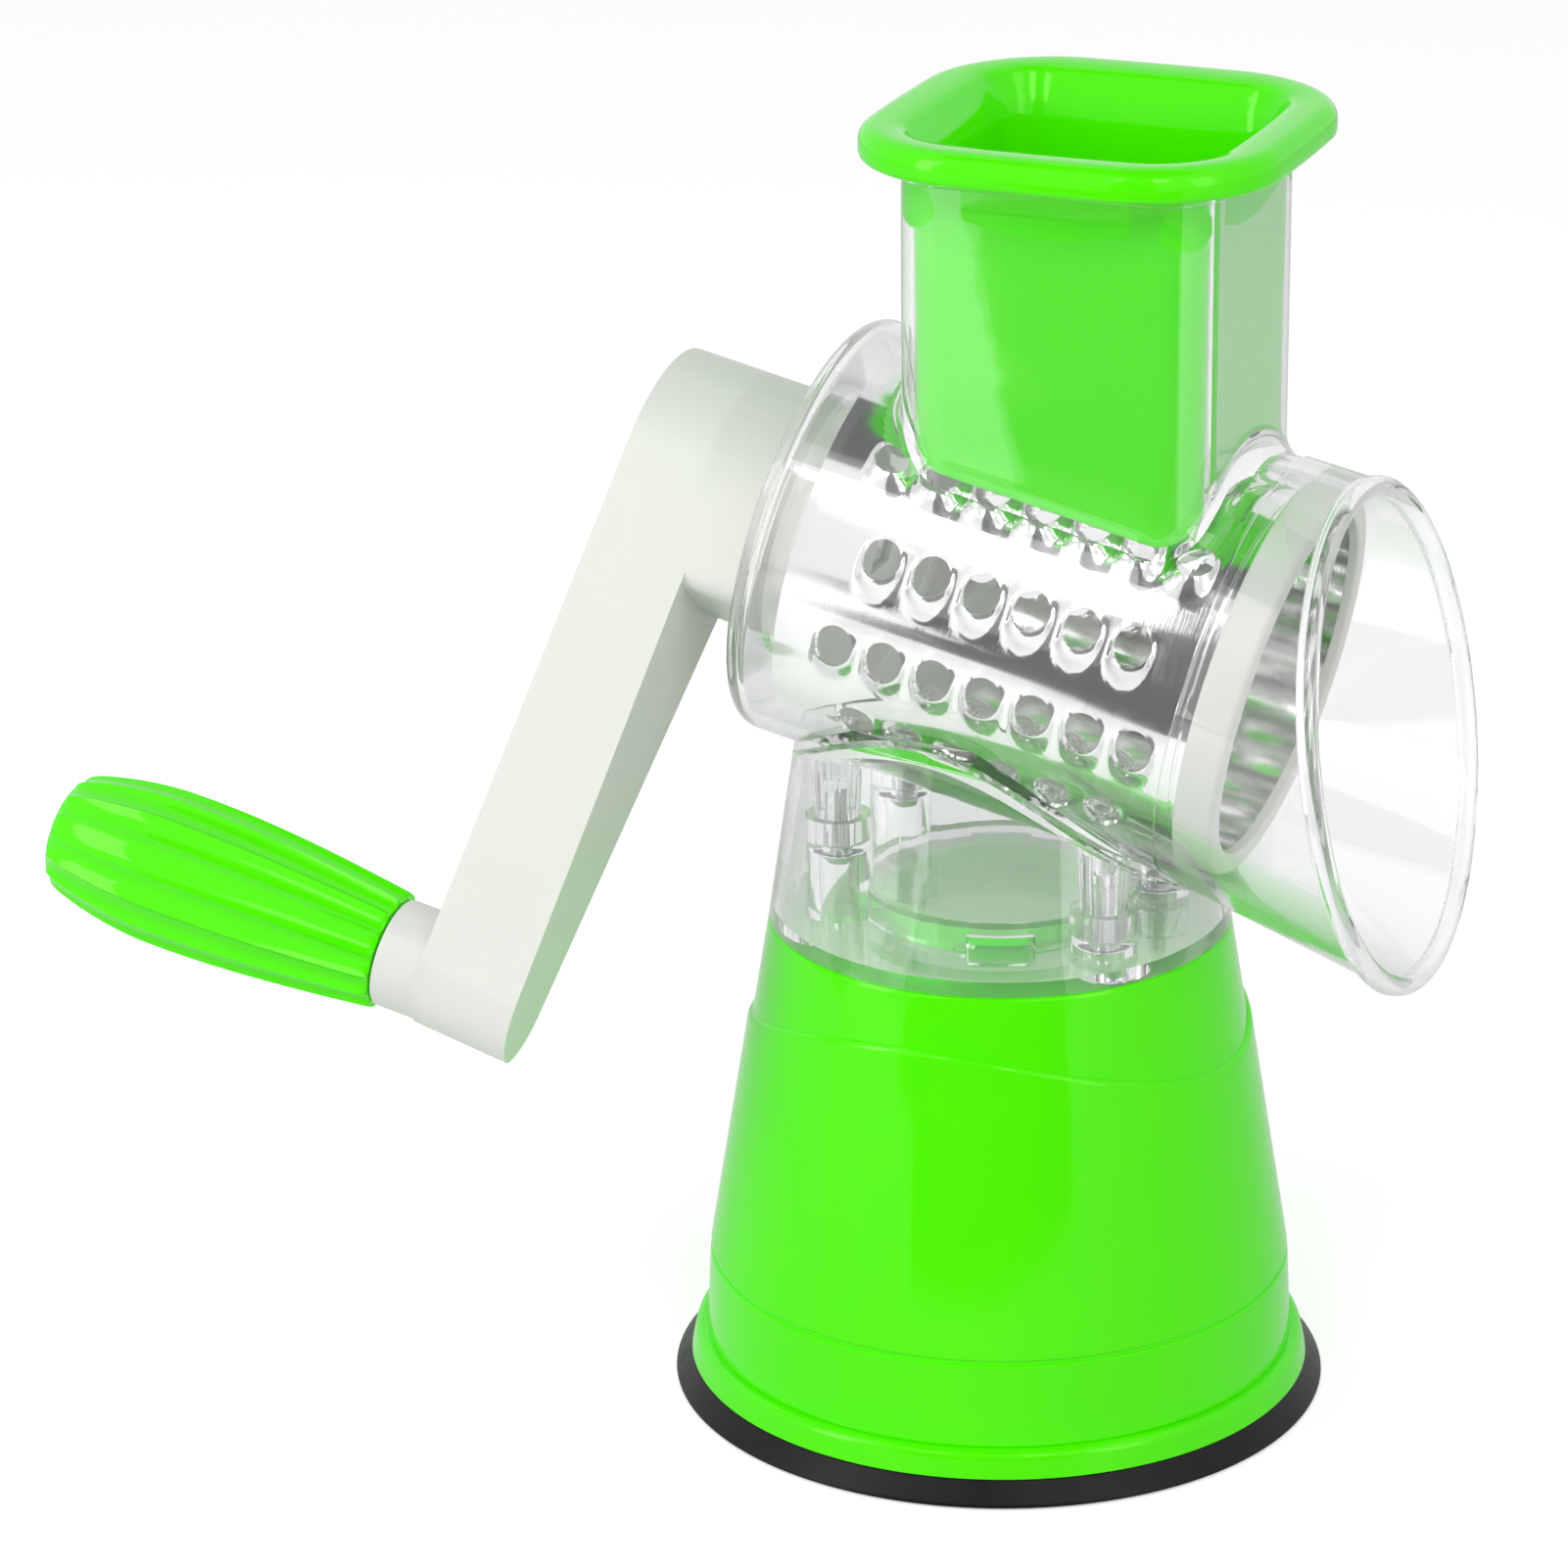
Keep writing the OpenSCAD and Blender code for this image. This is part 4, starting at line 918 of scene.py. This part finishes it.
class GRATER_OT_stage(bpy.types.Operator):
    """Sets the floor, the lamps and the camera"""

    bl_idname = "grater.stage"
    bl_label = "Stage"

    def execute(self, context):
        look = context.scene.grater_look
        scene = context.scene
        table, under, floor_white, floor_mirrored, floor_glow = 6, -0.0004, "#E9E9E9", 0.4, 0.52
        bpy.ops.object.select_all(action="DESELECT")
        bpy.ops.mesh.primitive_plane_add(size=table, location=(0, 0, under))
        floor = context.object
        floor.name = "floor"
        # The floor shows white to the camera and through clear plastic, and less in reflections
        made, tree = blank("Matt white table")
        ray = put(tree, "ShaderNodeLightPath")
        mirrored = put(tree, "ShaderNodeMath", {0: ray.outputs["Is Glossy Ray"], 1: floor_mirrored},
                       operation="MULTIPLY")
        seen = put(tree, "ShaderNodeMath", {
            0: ray.outputs["Is Camera Ray"], 1: ray.outputs["Is Transmission Ray"]}, operation="MAXIMUM")
        seen = put(tree, "ShaderNodeMath", {0: seen.outputs["Value"], 1: mirrored.outputs["Value"]},
                   operation="MAXIMUM")
        matt = put(tree, "ShaderNodeBsdfDiffuse", {"Color": linear(floor_white)})
        strength = put(tree, "ShaderNodeMapRange", {
            "Value": seen.outputs["Value"], "To Min": 0.0, "To Max": floor_glow})
        glow = put(tree, "ShaderNodeEmission", {
            "Color": (1, 1, 1, 1), "Strength": strength.outputs["Result"]})
        both = put(tree, "ShaderNodeAddShader", {0: matt.outputs["BSDF"], 1: glow.outputs["Emission"]})
        put(tree, "ShaderNodeOutputMaterial", {"Surface": both.outputs["Shader"]})
        floor.data.materials.append(made)

        world = bpy.data.worlds.new("Pale room")
        scene.world = world
        world.use_nodes = True
        tree = world.node_tree
        tree.nodes.clear()
        ray = put(tree, "ShaderNodeLightPath")
        seen = put(tree, "ShaderNodeMath", {
            0: ray.outputs["Is Camera Ray"], 1: ray.outputs["Is Glossy Ray"]}, operation="MAXIMUM")
        seen = put(tree, "ShaderNodeMath", {
            0: seen.outputs["Value"], 1: ray.outputs["Is Transmission Ray"]}, operation="MAXIMUM")
        strength = put(tree, "ShaderNodeMapRange", {
            "Value": seen.outputs["Value"], "To Min": look.sky, "To Max": 1.0})
        air = put(tree, "ShaderNodeBackground", {
            "Color": (1, 1, 1, 1), "Strength": strength.outputs["Result"]})
        put(tree, "ShaderNodeOutputWorld", {"Surface": air.outputs["Background"]})

        # Two tall soft lamps at the sides and one high in front, all turned to the object's middle
        target = Vector((0, 0, 0.12))
        for name, place, size, power in (
                ("left lamp", (-0.75, -0.85, 0.55), (0.35, 1.1), look.lamp),
                ("right lamp", (1.1, -0.5, 0.6), (0.4, 1.1), look.lamp * 0.6),
                ("front lamp", (0.25, -0.95, 1.05), (0.9, 0.5), look.lamp * 1.1)):
            data = bpy.data.lights.new(name, "AREA")
            data.shape = "RECTANGLE"
            data.size, data.size_y = size
            data.energy = power
            lamp = bpy.data.objects.new(name, data)
            lamp.location = place
            lamp.rotation_euler = (target - Vector(place)).to_track_quat("-Z", "Y").to_euler()
            scene.collection.objects.link(lamp)

        # Two grey cards that only reflections show: one before the table, for the steel's dark band,
        # and a round one above it
        made, tree = blank("Grey card")
        ray = put(tree, "ShaderNodeLightPath")
        after = put(tree, "ShaderNodeMath", {0: ray.outputs["Glossy Depth"], 1: 0.5},
                    operation="GREATER_THAN")
        none = put(tree, "ShaderNodeBsdfTransparent")
        grey = put(tree, "ShaderNodeEmission", {"Color": linear("#646466")})
        both = put(tree, "ShaderNodeMixShader", {
            0: after.outputs["Value"], 1: none.outputs["BSDF"], 2: grey.outputs["Emission"]})
        put(tree, "ShaderNodeOutputMaterial", {"Surface": both.outputs["Shader"]})
        before, over, middle_x, middle_y, wide = -300, 900, 20, -90, 330
        front = ((-130, 44), (-124, 58), (-112, 74), (-98, 82), (-84, 84), (-99, 152), (-30, 162), (5, 350),
                 (50, 900), (150, 900), (170, 170), (350, 150), (350, 4), (-64, 4), (-78, 38))
        top = [(middle_x + wide * math.cos(math.pi * k / 8), middle_y + wide * math.sin(math.pi * k / 8))
               for k in range(16)]
        for name, outline, place in (("front card", front, lambda x, z: Vector((x, before, z))),
                                     ("top card", top, lambda x, y: Vector((x, y, over)))):
            bpy.ops.object.select_all(action="DESELECT")
            bpy.ops.mesh.primitive_circle_add(vertices=len(outline), radius=1, fill_type="NGON")
            card = context.object
            card.name = name
            for v, point in zip(card.data.vertices, outline):
                v.co = place(*point) * MM
            card.data.materials.append(made)
            for kind in ("camera", "diffuse", "shadow"):
                setattr(card, "visible_" + kind, False)

        # The photograph's own viewpoint, solved from its circles: place, directions and focal length
        viewpoint, focal, sensor = (0.34941, -0.95649, 0.49755), 138.68, 36
        right = Vector((0.9267, 0.3757, -0.0089))
        up = Vector((-0.1245, 0.3290, 0.9361))
        ahead = Vector((-0.3546, 0.8664, -0.3517))
        data = bpy.data.cameras.new("camera")
        data.sensor_width, data.lens = sensor, focal
        data.clip_start, data.clip_end = 0.01, 20
        camera = bpy.data.objects.new("camera", data)
        camera.rotation_mode = "QUATERNION"
        camera.rotation_quaternion = Matrix((right, up, -ahead)).transposed().to_quaternion()
        camera.location = viewpoint
        scene.collection.objects.link(camera)
        scene.camera = camera
        scene.view_settings.view_transform = "Standard"
        return {"FINISHED"}


class GRATER_PT_panel(bpy.types.Panel):
    """Lists the pieces"""

    bl_label = "Rotary vegetable grater"
    bl_idname = "GRATER_PT_panel"
    bl_space_type = "VIEW_3D"
    bl_region_type = "UI"
    bl_category = "Grater"

    def draw(self, context):
        scene = context.scene
        for group in (scene.grater_sizes, scene.grater_colours, scene.grater_look):
            for key in group.__annotations__:
                self.layout.prop(group, key)
        for operator in OPERATORS:
            self.layout.operator(operator.bl_idname)


OPERATORS = (GRATER_OT_stage, GRATER_OT_plain, GRATER_OT_base, GRATER_OT_housing, GRATER_OT_drum,
             GRATER_OT_pusher, GRATER_OT_crank)
CLASSES = (GraterSizes, GraterColours, GraterLook, *OPERATORS, GRATER_PT_panel)


def register():
    for kind in CLASSES:
        bpy.utils.register_class(kind)
    bpy.types.Scene.grater_sizes = bpy.props.PointerProperty(type=GraterSizes)
    bpy.types.Scene.grater_colours = bpy.props.PointerProperty(type=GraterColours)
    bpy.types.Scene.grater_look = bpy.props.PointerProperty(type=GraterLook)


def unregister():
    del bpy.types.Scene.grater_look
    del bpy.types.Scene.grater_colours
    del bpy.types.Scene.grater_sizes
    for kind in reversed(CLASSES):
        bpy.utils.unregister_class(kind)


def main():
    register()
    for operator in OPERATORS:
        group, name = operator.bl_idname.split(".")
        getattr(getattr(bpy.ops, group), name)()


if __name__ == "__main__":
    main()
